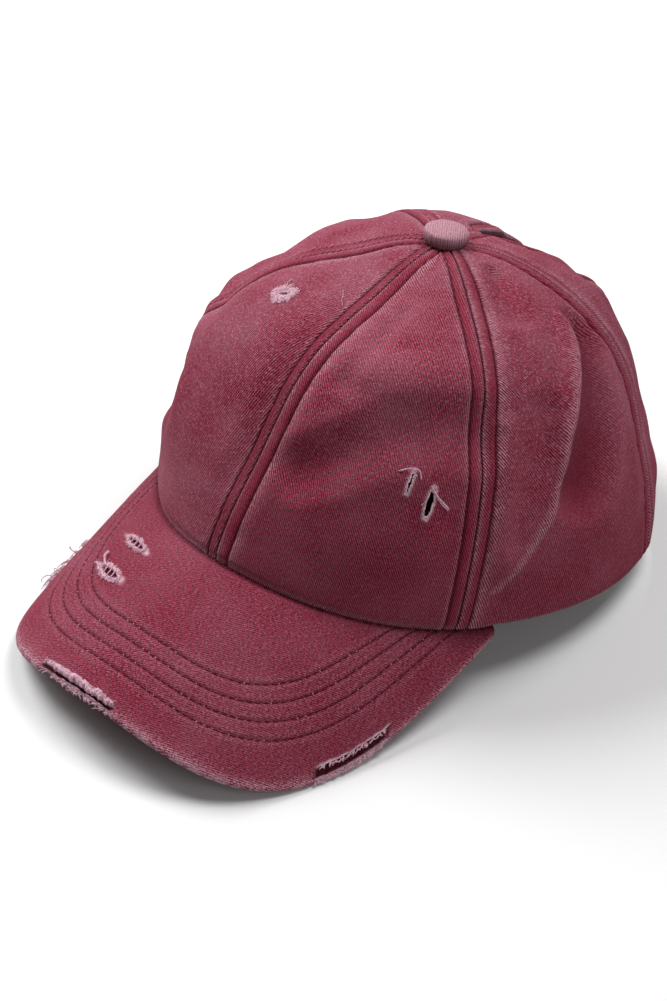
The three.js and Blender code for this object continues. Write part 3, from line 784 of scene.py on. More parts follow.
def make_seam_tapes():
    """A cotton tape inside along each seam, above the sweatband."""
    panels = list(PANELS_BY_NODE.values())
    for panel, before in zip(panels, panels[-1:] + panels[:-1]):
        bottom = SWEATBAND_HEIGHT / CROWN_CLIMB
        if panel["opening"] == "start":
            bottom = OPENING_TOP_RISE + TAPE_OPENING_GAP
        offset, rise = np.meshgrid(
            np.linspace(-TAPE_HALF_WIDTH, TAPE_HALF_WIDTH, TAPE_COLUMNS),
            np.linspace(bottom, TOP_RISE - TAPE_END_GAP, TAPE_ROWS),
        )
        around = girth(panel["start"] + 0 * rise, rise)
        squeeze = np.minimum(1, TAPE_SQUEEZE * SIXTH * around / TAPE_HALF_WIDTH)
        step = np.abs(offset * squeeze / around)
        sheets = []
        for depth in (CLOTH + TAPE_GAP, CLOTH + TAPE_GAP + TAPE_THICKNESS):
            after_seam = cloth_point(panel, panel["start"] + step, rise, depth)
            before_seam = cloth_point(before, before["end"] - step, rise, depth)
            sheets.append(np.where((offset >= 0)[..., None], after_seam, before_seam))
        upward = rise * CROWN_CLIMB
        marks = {
            "cloth": triples(upward + offset, upward - offset, TAPE_WEAVE),
            "painted_shade": np.full_like(rise, TAPE_SHADE),
        }
        name = "seam_tape_" + panel["node"].removeprefix("panel_")
        add_sheet(name, *sheets, marks, "band_cotton")


def make_slit_shadow_patches():
    """A near-black sheet behind each slit: painted shadow for the dark inside of the cap seen through it.
    """
    for number, slit in enumerate(SLIT_LIST, 1):
        panel = PANELS_BY_NODE[slit["panel"]]
        half_length = slit["length"] * HEAD_HALF_WIDTH / 2 + PATCH_MARGIN
        half_width = slit["width"] * HEAD_HALF_WIDTH / 2 + PATCH_MARGIN
        across, along = np.meshgrid(
            np.linspace(-half_width, half_width, PATCH_STEPS),
            np.linspace(-half_length, half_length, PATCH_STEPS),
        )
        turn, rise = slit_places(slit, across, along)
        top = cloth_point(panel, turn, rise, CLOTH + PATCH_GAP)
        under = cloth_point(panel, turn, rise, CLOTH + PATCH_GAP + TAPE_THICKNESS)
        marks = {"cloth": triples(across, along, PATCH_WEAVE)}
        add_sheet("slit_painted_shadow_" + str(number), top, under, marks, "painted_shadow_cotton")


def tubes(paths, radii, sides=5):
    """Points and faces of many closed round strands. paths is strands by steps by 3."""
    paths = np.asarray(paths, float)
    count, steps, _ = paths.shape
    radii = np.broadcast_to(radii, (count, steps))
    tangent = unit(np.gradient(paths, axis=1))
    upright = np.abs(tangent[..., 2:3]) >= STEEP
    guide = np.where(upright, np.array([1.0, 0, 0]), np.array([0, 0, 1.0]))
    side = unit(np.cross(tangent, guide))
    other = np.cross(tangent, side)
    angle = np.arange(sides) * 2 * np.pi / sides
    ring = side[:, :, None] * np.cos(angle)[:, None] + other[:, :, None] * np.sin(angle)[:, None]
    points = paths[:, :, None] + ring * radii[:, :, None, None]
    strand = np.arange(count)[:, None] * steps * sides
    place = strand[..., None] + (np.arange(steps - 1) * sides)[:, None]
    column = np.arange(sides)
    a, b = place + column, place + (column + 1) % sides
    body = np.stack([a, b, b + sides, a + sides], -1).reshape(-1, 4)
    ends = [strand + column[::-1], strand + (steps - 1) * sides + column]
    return points.reshape(-1, 3), body.tolist() + np.concatenate(ends).tolist()


def add_strands(name, parts, slot="frayed_cotton"):
    points, faces = joined(parts)
    add_mesh(name, points, faces, {}, slot, sharp=0)


def add_stitches(name, paths):
    strands_of_thread = tubes(np.concatenate(paths), STITCH_RADIUS * STITCH_SHARE)
    add_strands(name, [strands_of_thread], "stitching_thread")


def stitch_paths(path, normals, lift=STITCH_LIFT):
    """Short strands along a line, each ducking into the cloth at both ends."""
    reach = np.concatenate([[0], np.cumsum(np.linalg.norm(np.diff(path, axis=0), axis=1))])
    count = int(reach[-1] // STITCH_PITCH)
    first = (reach[-1] - count * STITCH_PITCH + STITCH_PITCH - STITCH_LENGTH) / 2
    share = np.linspace(0, 1, len(STITCH_SHARE))
    along = (first + np.arange(count) * STITCH_PITCH)[:, None] + share * STITCH_LENGTH
    points = np.stack([np.interp(along, reach, path[:, axis]) for axis in range(3)], -1)
    up = unit(np.stack([np.interp(along, reach, normals[:, axis]) for axis in range(3)], -1))
    arch = lift - (lift + STITCH_SINK) * np.abs(2 * share - 1) ** STITCH_ARCH_POWER
    return points + up * arch[:, None]


def make_seam_stitches():
    """The two rows beside each crown seam, and the row round the ponytail opening."""
    paths = []
    rises = np.linspace(CROWN_ROW_RISE[0], TOP_RISE, CROWN_ROW_SAMPLES)
    for panel in PANELS_BY_NODE.values():
        start, end = panel_edges(panel, rises)
        width = width_between(start, end, rises)
        fits = (width > 2 * SEAM_ROW + CROWN_ROWS_MEET) & (rises < CROWN_ROW_RISE[1])
        for edge, sign in ((start, 1), (end, -1)):
            row = row_distance_at(panel, sign > 0, rises)
            turn = edge + sign * row / girth(edge, rises)
            points = cloth_point(panel, turn[fits], rises[fits])
            paths.append(stitch_paths(points, dome_normal(turn[fits], rises[fits])))
    add_stitches("crown_stitches", paths)


# The brim. Its sheet is flat in p, across, and q, forward of the rim's front point.
SLOPE_COS = np.cos(BRIM_SLOPE)
SLOPE_SIN = np.sin(BRIM_SLOPE)
RIM_TURN_ROUNDS = 12
RIM_TURN_MOST = 0.98


def arch_fall(angle):
    """How far the arched sheet falls by an angle round its arch."""
    return BRIM_ARCH_RADIUS * (1 - np.cos(angle))


def sheet_point(p, q):
    p, q = np.broadcast_arrays(np.asarray(p, float), np.asarray(q, float))
    angle = p / BRIM_ARCH_RADIUS
    fall = arch_fall(angle)
    y = -HEAD_HALF_LENGTH - q * SLOPE_COS + fall * SLOPE_SIN
    z = FRONT_RISE - q * SLOPE_SIN - fall * SLOPE_COS
    return np.stack([BRIM_ARCH_RADIUS * np.sin(angle), y, z], -1)


def root_place(turn):
    """The sheet's own axes under a point of the rim."""
    rim = rim_point(turn)
    angle = np.arcsin(np.clip(rim[..., 0] / BRIM_ARCH_RADIUS, -1, 1))
    forward = (arch_fall(angle) * SLOPE_SIN - rim[..., 1] - HEAD_HALF_LENGTH) / SLOPE_COS
    return BRIM_ARCH_RADIUS * angle, forward


def rim_turn(x):
    """The turn at which the rim's front half reaches a distance across."""
    turn = np.zeros_like(x)
    for _ in range(RIM_TURN_ROUNDS):
        width = HEAD_HALF_WIDTH * (1 - FRONT_NARROWING * np.cos(turn))
        turn = np.arcsin(np.clip(x / width, -RIM_TURN_MOST, RIM_TURN_MOST))
    return turn


# The brim dips into a dark crevice before the crown.
BRIM_CREVICE = 1.1
BRIM_CREVICE_BACK = 0.6
BRIM_CREVICE_WIDTH = 2.2


def brim_base(p, q):
    """The brim's upper face: the sheet, drawn down to the rim along its root."""
    point = sheet_point(p, q)
    turn = rim_turn(point[..., 0])
    root_p, root_q = root_place(turn)
    drop = rim_point(turn)[..., 2] - BRIM_ROOT_GAP - sheet_point(root_p, root_q)[..., 2]
    away = np.clip(1 - (q - root_q) / BRIM_ROOT_FADE, 0, 1)
    point[..., 2] += drop * away**BRIM_ROOT_FADE_POWER
    point[..., 2] -= BRIM_CREVICE * bell(q - root_q + BRIM_CREVICE_BACK, BRIM_CREVICE_WIDTH)
    return point


def brim_normal(p, q):
    across = sheet_point(p + STEP, q) - sheet_point(p - STEP, q)
    forward = sheet_point(p, q + STEP) - sheet_point(p, q - STEP)
    return unit(np.cross(forward, across))


def brim_point(p, q, height):
    """A point at a height off the brim's plain upper face."""
    return brim_base(p, q) + brim_normal(p, q) * np.asarray(height)[..., None]


def outline_place(share, inset=0.0):
    """The brim's outline at an inset, from its right end at -1 to its left end at 1."""
    end_p, end_q = root_place(np.array(BRIM_END))
    half = BRIM_HALF_WIDTH - inset
    length = BRIM_LENGTH - inset
    end_p = end_p - BRIM_ROW_NARROWING * inset
    sine, cosine = np.sin(share * QUARTER), np.cos(share * QUARTER)
    power = BRIM_CORNER_POWER
    reach = (np.abs(sine) ** power + np.abs(cosine) ** power) ** (1 / power)
    forward = cosine / reach
    narrowing = (1 - end_p / half) * (1 - forward) ** 2
    return half * sine * (1 - narrowing) / reach, end_q + (length - end_q) * forward


def row_line(row, count=ROW_LINE_POINTS):
    """A stitch row of the brim, outside the crown, in the sheet's axes."""
    inset = BRIM_ROWS_INSET + row * BRIM_ROWS_APART
    p, q = outline_place(np.linspace(-1, 1, count), inset)
    _, root_q = root_place(rim_turn(sheet_point(p, q)[..., 0]))
    outside = q > root_q - ROW_LINE_OVERLAP
    return p[outside], q[outside]


# The relief of the brim's upper cloth: wrinkles, the valley of each stitch row and pillows beside it.
BRIM_WRINKLES = ((30, 0.35), (9, 0.1))
BRIM_WRINKLE_START = 6
BRIM_ROW_VALLEY = 0.4
BRIM_ROW_VALLEY_WIDTH = 0.55
BRIM_PILLOW = 0.12
BRIM_PILLOW_PLACE = 1.7
BRIM_PILLOW_WIDTH = 1.1
BRIM_PUCKER = 0.8
BRIM_PUCKER_SIZE = 3.2
GAP_PART = 4000

# Torn stretches of the brim's edge: from and to along the outline, how far the slot lies in from the
# edge, how wide and how deep it is, and how far the edge is worn in.
EDGE_TEAR_COLUMNS = ("name", "start", "end", "inset", "width", "depth", "worn")
EDGE_TEARS = [
    ("front", -0.185, 0.065, 2.0, 1.9, 1.3, 1.0),
    ("left_corner", 0.54, 0.68, 3.9, 4.4, 2.0, 1.2),
    ("right_corner", -0.7, -0.59, 1.2, 1.2, 0.7, 1.0),
]
EDGE_TEAR_LIST = row_dicts(EDGE_TEARS, EDGE_TEAR_COLUMNS)
EDGE_TEAR_FADE = 0.012
TEAR_RAGGED = 0.45
TEAR_RAGGED_SIZE = 1.6
TEAR_WALL = (-0.35, 0.2)
TEAR_LIP_PLACE = 0.4
TEAR_LIP_WIDTH = 0.6
TEAR_OUTER_FRAY = 0.45
EDGE_WORN_REACH = 3.5

# Holes worn through the brim's upper cloth: place and sizes in millimetres of the sheet.
BRIM_HOLE_COLUMNS = ("p", "q", "length", "width", "lean", "border")
BRIM_HOLES = [
    (-35.0, 8.2, 11.0, 1.9, -79, 1.4),
    (-34.8, 22.4, 11.5, 2.4, -82, 1.7),
]
BRIM_HOLE_LIST = row_dicts(BRIM_HOLES, BRIM_HOLE_COLUMNS)
HOLE_RAGGED = 0.25
HOLE_RAGGED_SIZE = 1.7
HOLE_WALL = (0.8, 1.15)
HOLE_DEPTH = 1.0
HOLE_FRAY = 0.75
HOLE_FRAY_PLACE = 1.4
HOLE_FRAY_WIDTH = 0.45

# Wear, fray and shade of the brim's cloth, by distance from its edge, its rows and the crown. Two values
# of the crevice's shade are for the front and what the brim's ends add.
EDGE_WEAR = 1.15
EDGE_WEAR_WIDTH = 2.8
EDGE_WEAR_ROUGH = 0.3
EDGE_WEAR_ROUGH_SIZE = 5
WIDE_WEAR = 0.2
WIDE_WEAR_WIDTH = 6
WIDE_WEAR_PATCHES = (14, -0.4, 0.8)
EDGE_FRAY = 0.4
EDGE_FRAY_WIDTH = 1.3
EDGE_FRAY_PATCHES = (2.2, -0.5, 0.5)
BRIM_ROW_WEAR = 0.18
BRIM_ROW_WEAR_PLACE = 1.5
BRIM_ROW_WEAR_WIDTH = 1.2
BRIM_ROW_SHADE = 0.75
BRIM_ROW_SHADE_WIDTH = 0.4
CREVICE_ENDS = (42 * DEG, 68 * DEG)
CREVICE_SHADE = (0.6, 0.25)
CREVICE_SHADE_WIDTH = (1.2, 6.5)
CREVICE_SHADE_BACK = 0.2


def hole_axes(hole, p, q):
    """Millimetres across and along a brim hole from its middle. Along leans from forward to the right."""
    return leaning(p - hole["p"], q - hole["q"], hole["lean"])


def row_gaps(p, q):
    """Distance of each place from the nearest stitch row of the brim, a part of the places at a time."""
    gaps = []
    lines = [row_line(row) for row in range(BRIM_ROW_COUNT)]
    for first in range(0, p.size, GAP_PART):
        near_p = p.ravel()[first:first + GAP_PART, None]
        near_q = q.ravel()[first:first + GAP_PART, None]
        rows = [np.hypot(near_p - row_p, near_q - row_q).min(1) for row_p, row_q in lines]
        gaps.append(np.min(rows, 0))
    return np.concatenate(gaps).reshape(p.shape)


def brim_detail(p, q, share, from_edge):
    """The height of the brim's upper cloth over its plain form, how worn in its edge is, and its marks."""
    flat = triples(p, q)
    row_distance = row_gaps(p, q)
    height = uneven(flat, BRIM_WRINKLES) * smooth(from_edge, 0, BRIM_WRINKLE_START)
    height = height - BRIM_ROW_VALLEY * bell(row_distance, BRIM_ROW_VALLEY_WIDTH)
    pillow = BRIM_PILLOW * (0.5 + BRIM_PUCKER * noise(flat, BRIM_PUCKER_SIZE))
    height = height + pillow * bell(row_distance - BRIM_PILLOW_PLACE, BRIM_PILLOW_WIDTH)
    slot = np.zeros(p.shape)
    worn = np.zeros(p.shape)
    fray = np.zeros(p.shape)
    for tear in EDGE_TEAR_LIST:
        half_width = tear["width"] / 2
        starting = (tear["start"] - EDGE_TEAR_FADE, tear["start"] + EDGE_TEAR_FADE / 2)
        ending = (tear["end"] - EDGE_TEAR_FADE / 2, tear["end"] + EDGE_TEAR_FADE)
        along = between(share, starting, ending)
        offset = np.abs(from_edge - tear["inset"] + TEAR_RAGGED * noise(flat, TEAR_RAGGED_SIZE))
        inside = (1 - smooth(offset - half_width, *TEAR_WALL)) * along
        slot = np.maximum(slot, inside)
        height = height - tear["depth"] * inside
        worn = np.maximum(worn, tear["worn"] * along)
        lip = bell(offset - half_width - TEAR_LIP_PLACE, TEAR_LIP_WIDTH) * along
        fray = np.maximum(fray, lip * (from_edge > tear["inset"]))
        fray = np.maximum(fray, TEAR_OUTER_FRAY * along * (from_edge < tear["inset"] - half_width))
    for hole in BRIM_HOLE_LIST:
        across, along = hole_axes(hole, p, q)
        reach = np.hypot(across / (hole["width"] / 2), along / (hole["length"] / 2))
        reach = reach + HOLE_RAGGED * noise(flat, HOLE_RAGGED_SIZE)
        inside = 1 - smooth(reach, *HOLE_WALL)
        slot = np.maximum(slot, inside)
        height = height - HOLE_DEPTH * inside
        fray = np.maximum(fray, HOLE_FRAY * bell(reach - HOLE_FRAY_PLACE, HOLE_FRAY_WIDTH))
    wear = EDGE_WEAR + EDGE_WEAR_ROUGH * noise(flat, EDGE_WEAR_ROUGH_SIZE)
    wear = wear * bell(from_edge, EDGE_WEAR_WIDTH)
    wear = wear + WIDE_WEAR * bell(from_edge, WIDE_WEAR_WIDTH) * patches(flat, *WIDE_WEAR_PATCHES)
    wear = wear + BRIM_ROW_WEAR * bell(row_distance - BRIM_ROW_WEAR_PLACE, BRIM_ROW_WEAR_WIDTH)
    edge_fray = EDGE_FRAY * bell(from_edge, EDGE_FRAY_WIDTH) * patches(flat, *EDGE_FRAY_PATCHES)
    turn = rim_turn(sheet_point(p, q)[..., 0])
    by_end = smooth(np.abs(turn), *CREVICE_ENDS)
    from_crown = np.maximum(q - root_place(turn)[1] + CREVICE_SHADE_BACK, 0)
    crevice = bell(from_crown, CREVICE_SHADE_WIDTH[0] + CREVICE_SHADE_WIDTH[1] * by_end)
    crevice = crevice * (CREVICE_SHADE[0] + CREVICE_SHADE[1] * by_end)
    # Painted shade in the stitch rows' valleys, the holes and torn slots, and the crevice before the
    # crown.
    painted_shade = BRIM_ROW_SHADE * bell(row_distance, BRIM_ROW_SHADE_WIDTH) + slot + crevice
    marks = {
        "wear": np.clip(wear, 0, 1),
        "painted_shade": np.clip(painted_shade, 0, 1),
        "fray": np.clip(np.maximum(fray, edge_fray) - slot, 0, 1),
    }
    return height, worn, marks


BRIM_MESH_COLUMNS = 430
BRIM_MESH_ROWS = 118
BRIM_UNDER_ROWS = 26
BRIM_EDGE_STEPS = np.array([
    0, 0.06, 0.2, 0.42, 0.7, 1.0, 1.3, 1.6, 1.95,
    2.3, 2.65, 3.0, 3.4, 3.8, 4.3, 4.8, 5.4, 6.0,
])
BRIM_EDGE_STEPS_SHARE = 0.5
BRIM_LEVEL_START = 1.0
BRIM_TWILL = -22 * DEG
UNDER_WEAVE = 0.7
UNDER_APART = 30
UNDER_WEAR_WIDTH = 2.0


def brim_places(share, from_edge):
    """The sheet's axes at distances in from the edge, along the lines from the rim to the edge."""
    root_p, root_q = root_place(share * BRIM_END)
    edge_p, edge_q = outline_place(share)
    length = np.hypot(edge_p - root_p, edge_q - root_q)
    along = np.clip(1 - from_edge / length, 0, 1)
    return root_p + (edge_p - root_p) * along, root_q + (edge_q - root_q) * along


def brim_length_at(share):
    root_p, root_q = root_place(share * BRIM_END)
    edge_p, edge_q = outline_place(share)
    return np.hypot(edge_p - root_p, edge_q - root_q)


def edge_round(from_edge):
    """How far the rounded edge falls away at a distance in from it."""
    half = BRIM_THICKNESS / 2
    return half - np.sqrt(np.maximum(half**2 - np.maximum(half - from_edge, 0) ** 2, 0))


def inner_root(turn):
    """The brim's innermost line, under the wall and the sweatband."""
    inset = CLOTH + BAND_GAP + SWEATBAND_THICKNESS
    point = rim_point(turn) - dome_normal(turn, 0 * turn) * inset
    point[..., 2] -= BRIM_ROOT_GAP
    return point


def make_brim():
    """The cloth over both faces of the brim and round its edge, closed along its root and its ends."""
    share = np.linspace(BRIM_END_SHARE, -BRIM_END_SHARE, BRIM_MESH_COLUMNS)
    length = brim_length_at(share)
    squeeze = np.minimum(1, BRIM_EDGE_STEPS_SHARE * length / BRIM_EDGE_STEPS[-1])
    near = squeeze * BRIM_EDGE_STEPS[:, None]
    layers = []
    for rows in (BRIM_MESH_ROWS, BRIM_UNDER_ROWS):
        plain = near[-1] + (length - near[-1]) * np.linspace(0, 1, rows)[1:, None]
        layers.append(np.concatenate([near, plain]))
    top_edge, under_edge = layers
    p, q = brim_places(share, top_edge)
    height, worn, marks = brim_detail(p, q, share, top_edge)
    p, q = brim_places(share, top_edge + worn * (1 - smooth(top_edge, 0, EDGE_WORN_REACH)))
    height = height * smooth(top_edge, 0, BRIM_LEVEL_START)
    top = brim_point(p, q, height - edge_round(top_edge))
    under_worn = worn[0] * (1 - smooth(under_edge, 0, EDGE_WORN_REACH))
    under_p, under_q = brim_places(share, under_edge + under_worn)
    under = brim_point(under_p, under_q, edge_round(under_edge) - BRIM_THICKNESS)
    inner = inner_root(share * BRIM_END)
    inner_under = inner - brim_normal(*root_place(share * BRIM_END)) * BRIM_THICKNESS
    points = np.concatenate([inner[None], top[::-1], under[1:], inner_under[None]])
    row_count = len(points)
    faces = grid_faces(BRIM_MESH_COLUMNS, row_count).reshape(-1, 4)
    last = (row_count - 1) * BRIM_MESH_COLUMNS
    column = np.arange(BRIM_MESH_COLUMNS - 1)
    root_wall = np.stack([last + column, last + column + 1, column + 1, column], -1)
    left_cap = np.arange(row_count) * BRIM_MESH_COLUMNS
    right_cap = left_cap[::-1] + BRIM_MESH_COLUMNS - 1
    faces = faces.tolist() + root_wall.tolist() + end_strip(left_cap) + end_strip(right_cap)
    cloth = on_twill(p, q, BRIM_TWILL, 0)
    under_cloth = triples(under_p + under_q, under_q - under_p) * UNDER_WEAVE
    under_cloth[..., 2] += UNDER_APART
    cloth = np.concatenate([cloth[-1:], cloth[::-1], under_cloth[1:], under_cloth[-1:]])
    full = {"cloth": listed(cloth)}
    none = 0 * under_edge
    for name, values in marks.items():
        # The innermost row, under the crown, is in full painted shade.
        innermost = np.full_like(values[-1:], name == "painted_shade")
        below = bell(under_edge, UNDER_WEAR_WIDTH) if name == "wear" else none
        full[name] = np.concatenate([innermost, values[::-1], below[1:], none[-1:]]).ravel()
    add_mesh("brim_cloth", listed(points), faces, full, "brim_twill", ["brim"])


def end_strip(ring):
    """Quads and a triangle that close a ring of point numbers which runs out and back."""
    faces = []
    low, high = 0, len(ring) - 1
    while high - low > 2:
        faces.append([int(ring[low]), int(ring[low + 1]), int(ring[high - 1]), int(ring[high])])
        low += 1
        high -= 1
    if high - low == 2:
        faces.append([int(ring[low]), int(ring[low + 1]), int(ring[high])])
    return faces


# Lint at some of the needle holes.
LINT_SHARE = 0.3
LINT_LIFT = 0.3
LINT_HALF_LENGTH = 0.35
LINT_RADII = np.array([0.08, 0.15, 0.15, 0.08])


def make_brim_stitches():
    """Four rows on the brim's upper face, and the same four under it."""
    paths = []
    spots = []
    for row in range(BRIM_ROW_COUNT):
        p, q = row_line(row, BRIM_STITCH_POINTS)
        normal = brim_normal(p, q)
        upper = brim_point(p, q, uneven(triples(p, q), BRIM_WRINKLES) - BRIM_ROW_VALLEY)
        every = stitch_paths(upper, normal)
        paths.append(every)
        under = brim_base(p, q) - normal * BRIM_THICKNESS
        paths.append(stitch_paths(under, -normal, STITCH_LIFT_UNDER))
        chosen = every[rng.random(len(every)) < LINT_SHARE][:, 0]
        spots.append(chosen + normal_at(normal, upper, chosen) * LINT_LIFT)
    add_stitches("brim_stitches", paths)
    spots = np.concatenate(spots)
    turned = unit(rng.normal(size=spots.shape)) * LINT_HALF_LENGTH
    bits = spots[:, None] + turned[:, None] * np.linspace(-1, 1, len(LINT_RADII))[:, None]
    add_strands("needle_hole_lint", [tubes(bits, LINT_RADII)])


def normal_at(normals, line, spots):
    """The normals of the points of a line that lie nearest to some spots."""
    nearest = [int(np.argmin(((line - spot) ** 2).sum(1))) for spot in spots]
    return normals[nearest]


# The covered button's profile, gathers and weave.
BUTTON_SPOKES = 120
BUTTON_TIP = 0.01
BUTTON_FOOT_SHARE = 0.6
BUTTON_FOOT_RISE = 0.1
BUTTON_EDGE_STEPS = 7
BUTTON_DOME_STEPS = 16
BUTTON_SHOULDER = 0.4
BUTTON_DOME_POWERS = (0.72, 0.9)
BUTTON_GATHERS = ((26, 0.16, 0), (11, 0.1, 1))
BUTTON_GATHER_FADE = (-1.0, 1.6)
BUTTON_ROUGH = 0.07
BUTTON_ROUGH_SIZE = 2.6
BUTTON_UNDER = (0.4, 2.6)
BUTTON_WEAR = 0.35
BUTTON_UNDER_SHADE = 0.55
BUTTON_WEAVE = (0.77, 0.64)


def ring_faces(rings, spokes):
    """Quads between rings of points, each ring closed on itself."""
    ring = np.arange(rings - 1)[:, None] * spokes
    spoke = np.arange(spokes)
    a, b = ring + spoke, ring + (spoke + 1) % spokes
    return np.stack([a, b, b + spokes, a + spokes], -1).reshape(-1, 4)


def make_button():
    """A dome of covered cloth with a rounded edge, gathered beneath."""
    shoulder = BUTTON_SIDE - BUTTON_EDGE_ROUND * BUTTON_SHOULDER
    top = BUTTON_SIDE + BUTTON_DOME
    profile = [(BUTTON_TIP, BUTTON_FOOT_RISE - BUTTON_SKIRT)]
    profile.append((BUTTON_RADIUS * BUTTON_FOOT_SHARE, -BUTTON_SKIRT))
    for angle in np.linspace(0, QUARTER, BUTTON_EDGE_STEPS):
        inward = BUTTON_EDGE_ROUND * 2 * (1 - np.sin(angle))
        low = BUTTON_EDGE_ROUND - (BUTTON_SKIRT + BUTTON_EDGE_ROUND) * np.cos(angle)
        profile.append((BUTTON_RADIUS - inward, low))
    for angle in np.linspace(0, QUARTER, BUTTON_DOME_STEPS)[1:-1]:
        out = BUTTON_RADIUS * np.cos(angle) ** BUTTON_DOME_POWERS[0]
        profile.append((out, shoulder + (top - shoulder) * np.sin(angle) ** BUTTON_DOME_POWERS[1]))
    profile.append((BUTTON_TIP, top))
    radius, height = np.array(profile).T[..., None]
    angle = np.arange(BUTTON_SPOKES) * 2 * np.pi / BUTTON_SPOKES
    gather = sum(size * np.sin(count * angle + phase) for count, size, phase in BUTTON_GATHERS)
    radius = radius + gather * (1 - smooth(height, *BUTTON_GATHER_FADE))
    back = radius * np.sin(angle) + APEX_SET_BACK
    points = triples(radius * np.cos(angle), back, height + CROWN_HEIGHT + BUTTON_LIFT)
    points[..., 2] += BUTTON_ROUGH * noise(points, BUTTON_ROUGH_SIZE)
    first = list(range(BUTTON_SPOKES))
    last = [(len(profile) - 1) * BUTTON_SPOKES + spoke for spoke in first]
    faces = ring_faces(len(profile), BUTTON_SPOKES).tolist() + [first[::-1], last]
    points = listed(points)
    x, y, z = points.T
    # Painted shade on the button's underside.
    under = 1 - smooth(z - CROWN_HEIGHT, *BUTTON_UNDER)
    weave_x, weave_y = BUTTON_WEAVE
    marks = {
        "cloth": triples(x * weave_x + y * weave_y, y * weave_x - x * weave_y),
        "wear": BUTTON_WEAR * (1 - under),
        "painted_shade": BUTTON_UNDER_SHADE * under,
    }
    add_mesh("crown_button_cloth", points, faces, marks, "button_twill", ["crown_button"])


def wall_height(turn, rise):
    """The relief of whichever panel lies at each place."""
    height = np.zeros(np.broadcast(turn, rise).shape)
    wrapped = wrap(turn)
    for panel in PANELS_BY_NODE.values():
        here = (wrapped >= panel["start"]) & (wrapped <= panel["end"])
        height = np.where(here, relief(panel, wrapped, rise), height)
    return height


# The bands' edges, ripple and weave.
BAND_ROWS = 15
BAND_ROUND = 0.35
BAND_ROUND_WIDTH = 0.5
BAND_RIPPLE = 0.12
BAND_RIPPLE_SIZE = 12
BAND_WEAR = 0.7
BAND_WEAR_WIDTH = 0.8
BAND_TWILL = 135 * DEG
BAND_APART = 90


def inside_wall(turn, rise, depth):
    """A point at a depth in from the bands' outer face, which follows the wall."""
    height = wall_height(turn, rise) - CLOTH - BAND_GAP - depth
    return dome_point(turn, rise) + dome_normal(turn, rise) * height[..., None]


def make_band(name, node, slot, start, end, height, thickness, columns, stitch_insets):
    """A flat band that follows the inside of the wall, with rounded edges and its stitch rows."""
    top_rise = height / CROWN_CLIMB
    turn, rise = np.meshgrid(np.linspace(start, end, columns), np.linspace(0, top_rise, BAND_ROWS))
    distance = np.minimum(rise, top_rise - rise) * CROWN_CLIMB
    distance = np.minimum(distance, np.minimum(turn - start, end - turn) * HEAD_HALF_WIDTH)
    round_off = BAND_ROUND * thickness * bell(distance, BAND_ROUND_WIDTH)
    ripple = BAND_RIPPLE * noise(dome_point(turn, rise), BAND_RIPPLE_SIZE)
    outer = inside_wall(turn, rise, round_off)
    inner = inside_wall(turn, rise, thickness - round_off - ripple)
    marks = {
        "cloth": on_twill(turn * HEAD_HALF_WIDTH, rise * CROWN_CLIMB, BAND_TWILL, BAND_APART),
        "wear": BAND_WEAR * bell(distance, BAND_WEAR_WIDTH),
    }
    add_sheet(name, outer, inner, marks, slot, [node])
    paths = []
    turns = np.linspace(start, end, columns * 2)
    for inset in stitch_insets:
        rises = np.full_like(turns, inset / CROWN_CLIMB)
        paths.append(stitch_paths(inside_wall(turns, rises, thickness), -dome_normal(turns, rises)))
    add_stitches(name + "_stitches", paths)


# A raised ragged ring of worn yarn: its mesh, how its reach and height vary, and how deep it sits.
RING_SPOKES = 96
RING_ROWS = 9
RING_HEIGHT = 0.8
RING_RAGGED = 0.55
RING_SPIKES = 0.35
RING_LUMPS = (0.45, 0.75)
RING_CROWN = (0.04, 0.97)
RING_CROWN_POWER = 0.6
RING_SINK = 0.12
RING_ROOT = 0.35


def fuzz_ring(place, length, width, lean, border, lobes, seed):
    """A raised ragged ring of worn yarn round a slit. place maps millimetres on the cloth to points."""
    shape = np.random.default_rng(seed)
    angle = np.arange(RING_SPOKES) * 2 * np.pi / RING_SPOKES
    waves = [shape.uniform(0.4, 1) * np.sin(lobe * angle + shape.uniform(0, 6.3)) for lobe in lobes]
    ragged = sum(waves) / len(lobes)
    spikes = shape.random(RING_SPOKES) ** 3
    across = np.sin(angle) * width / 2
    along = np.cos(angle) * length / 2
    outward = unit(np.stack([across * length / width, along * width / length], -1) + TINY)
    reach = border * (1 + RING_RAGGED * ragged + RING_SPIKES * spikes)
    share = np.linspace(0, 1, RING_ROWS)[:, None]
    lumps = RING_LUMPS[0] + RING_LUMPS[1] * shape.random((RING_ROWS, RING_SPOKES))
    crown = RING_HEIGHT * np.sin(np.pi * np.clip(share, *RING_CROWN)) ** RING_CROWN_POWER
    across = across + outward[:, 0] * reach * share
    along = along + outward[:, 1] * reach * share
    right, up = leaning(across, along, lean)
    top = place(right, up, crown * lumps - RING_SINK)
    under = place(right, up, np.full_like(lumps, -RING_ROOT))
    count = RING_ROWS * RING_SPOKES
    upper = ring_faces(RING_ROWS, RING_SPOKES)[:, [0, 3, 2, 1]]
    spoke = np.arange(RING_SPOKES)
    following = (spoke + 1) % RING_SPOKES
    inner_wall = np.stack([spoke, following, following + count, spoke + count], -1)
    outer_wall = inner_wall[:, ::-1] + count - RING_SPOKES
    faces = np.concatenate([upper, upper[:, ::-1] + count, inner_wall, outer_wall])
    return both_faces(top, under), faces.tolist()


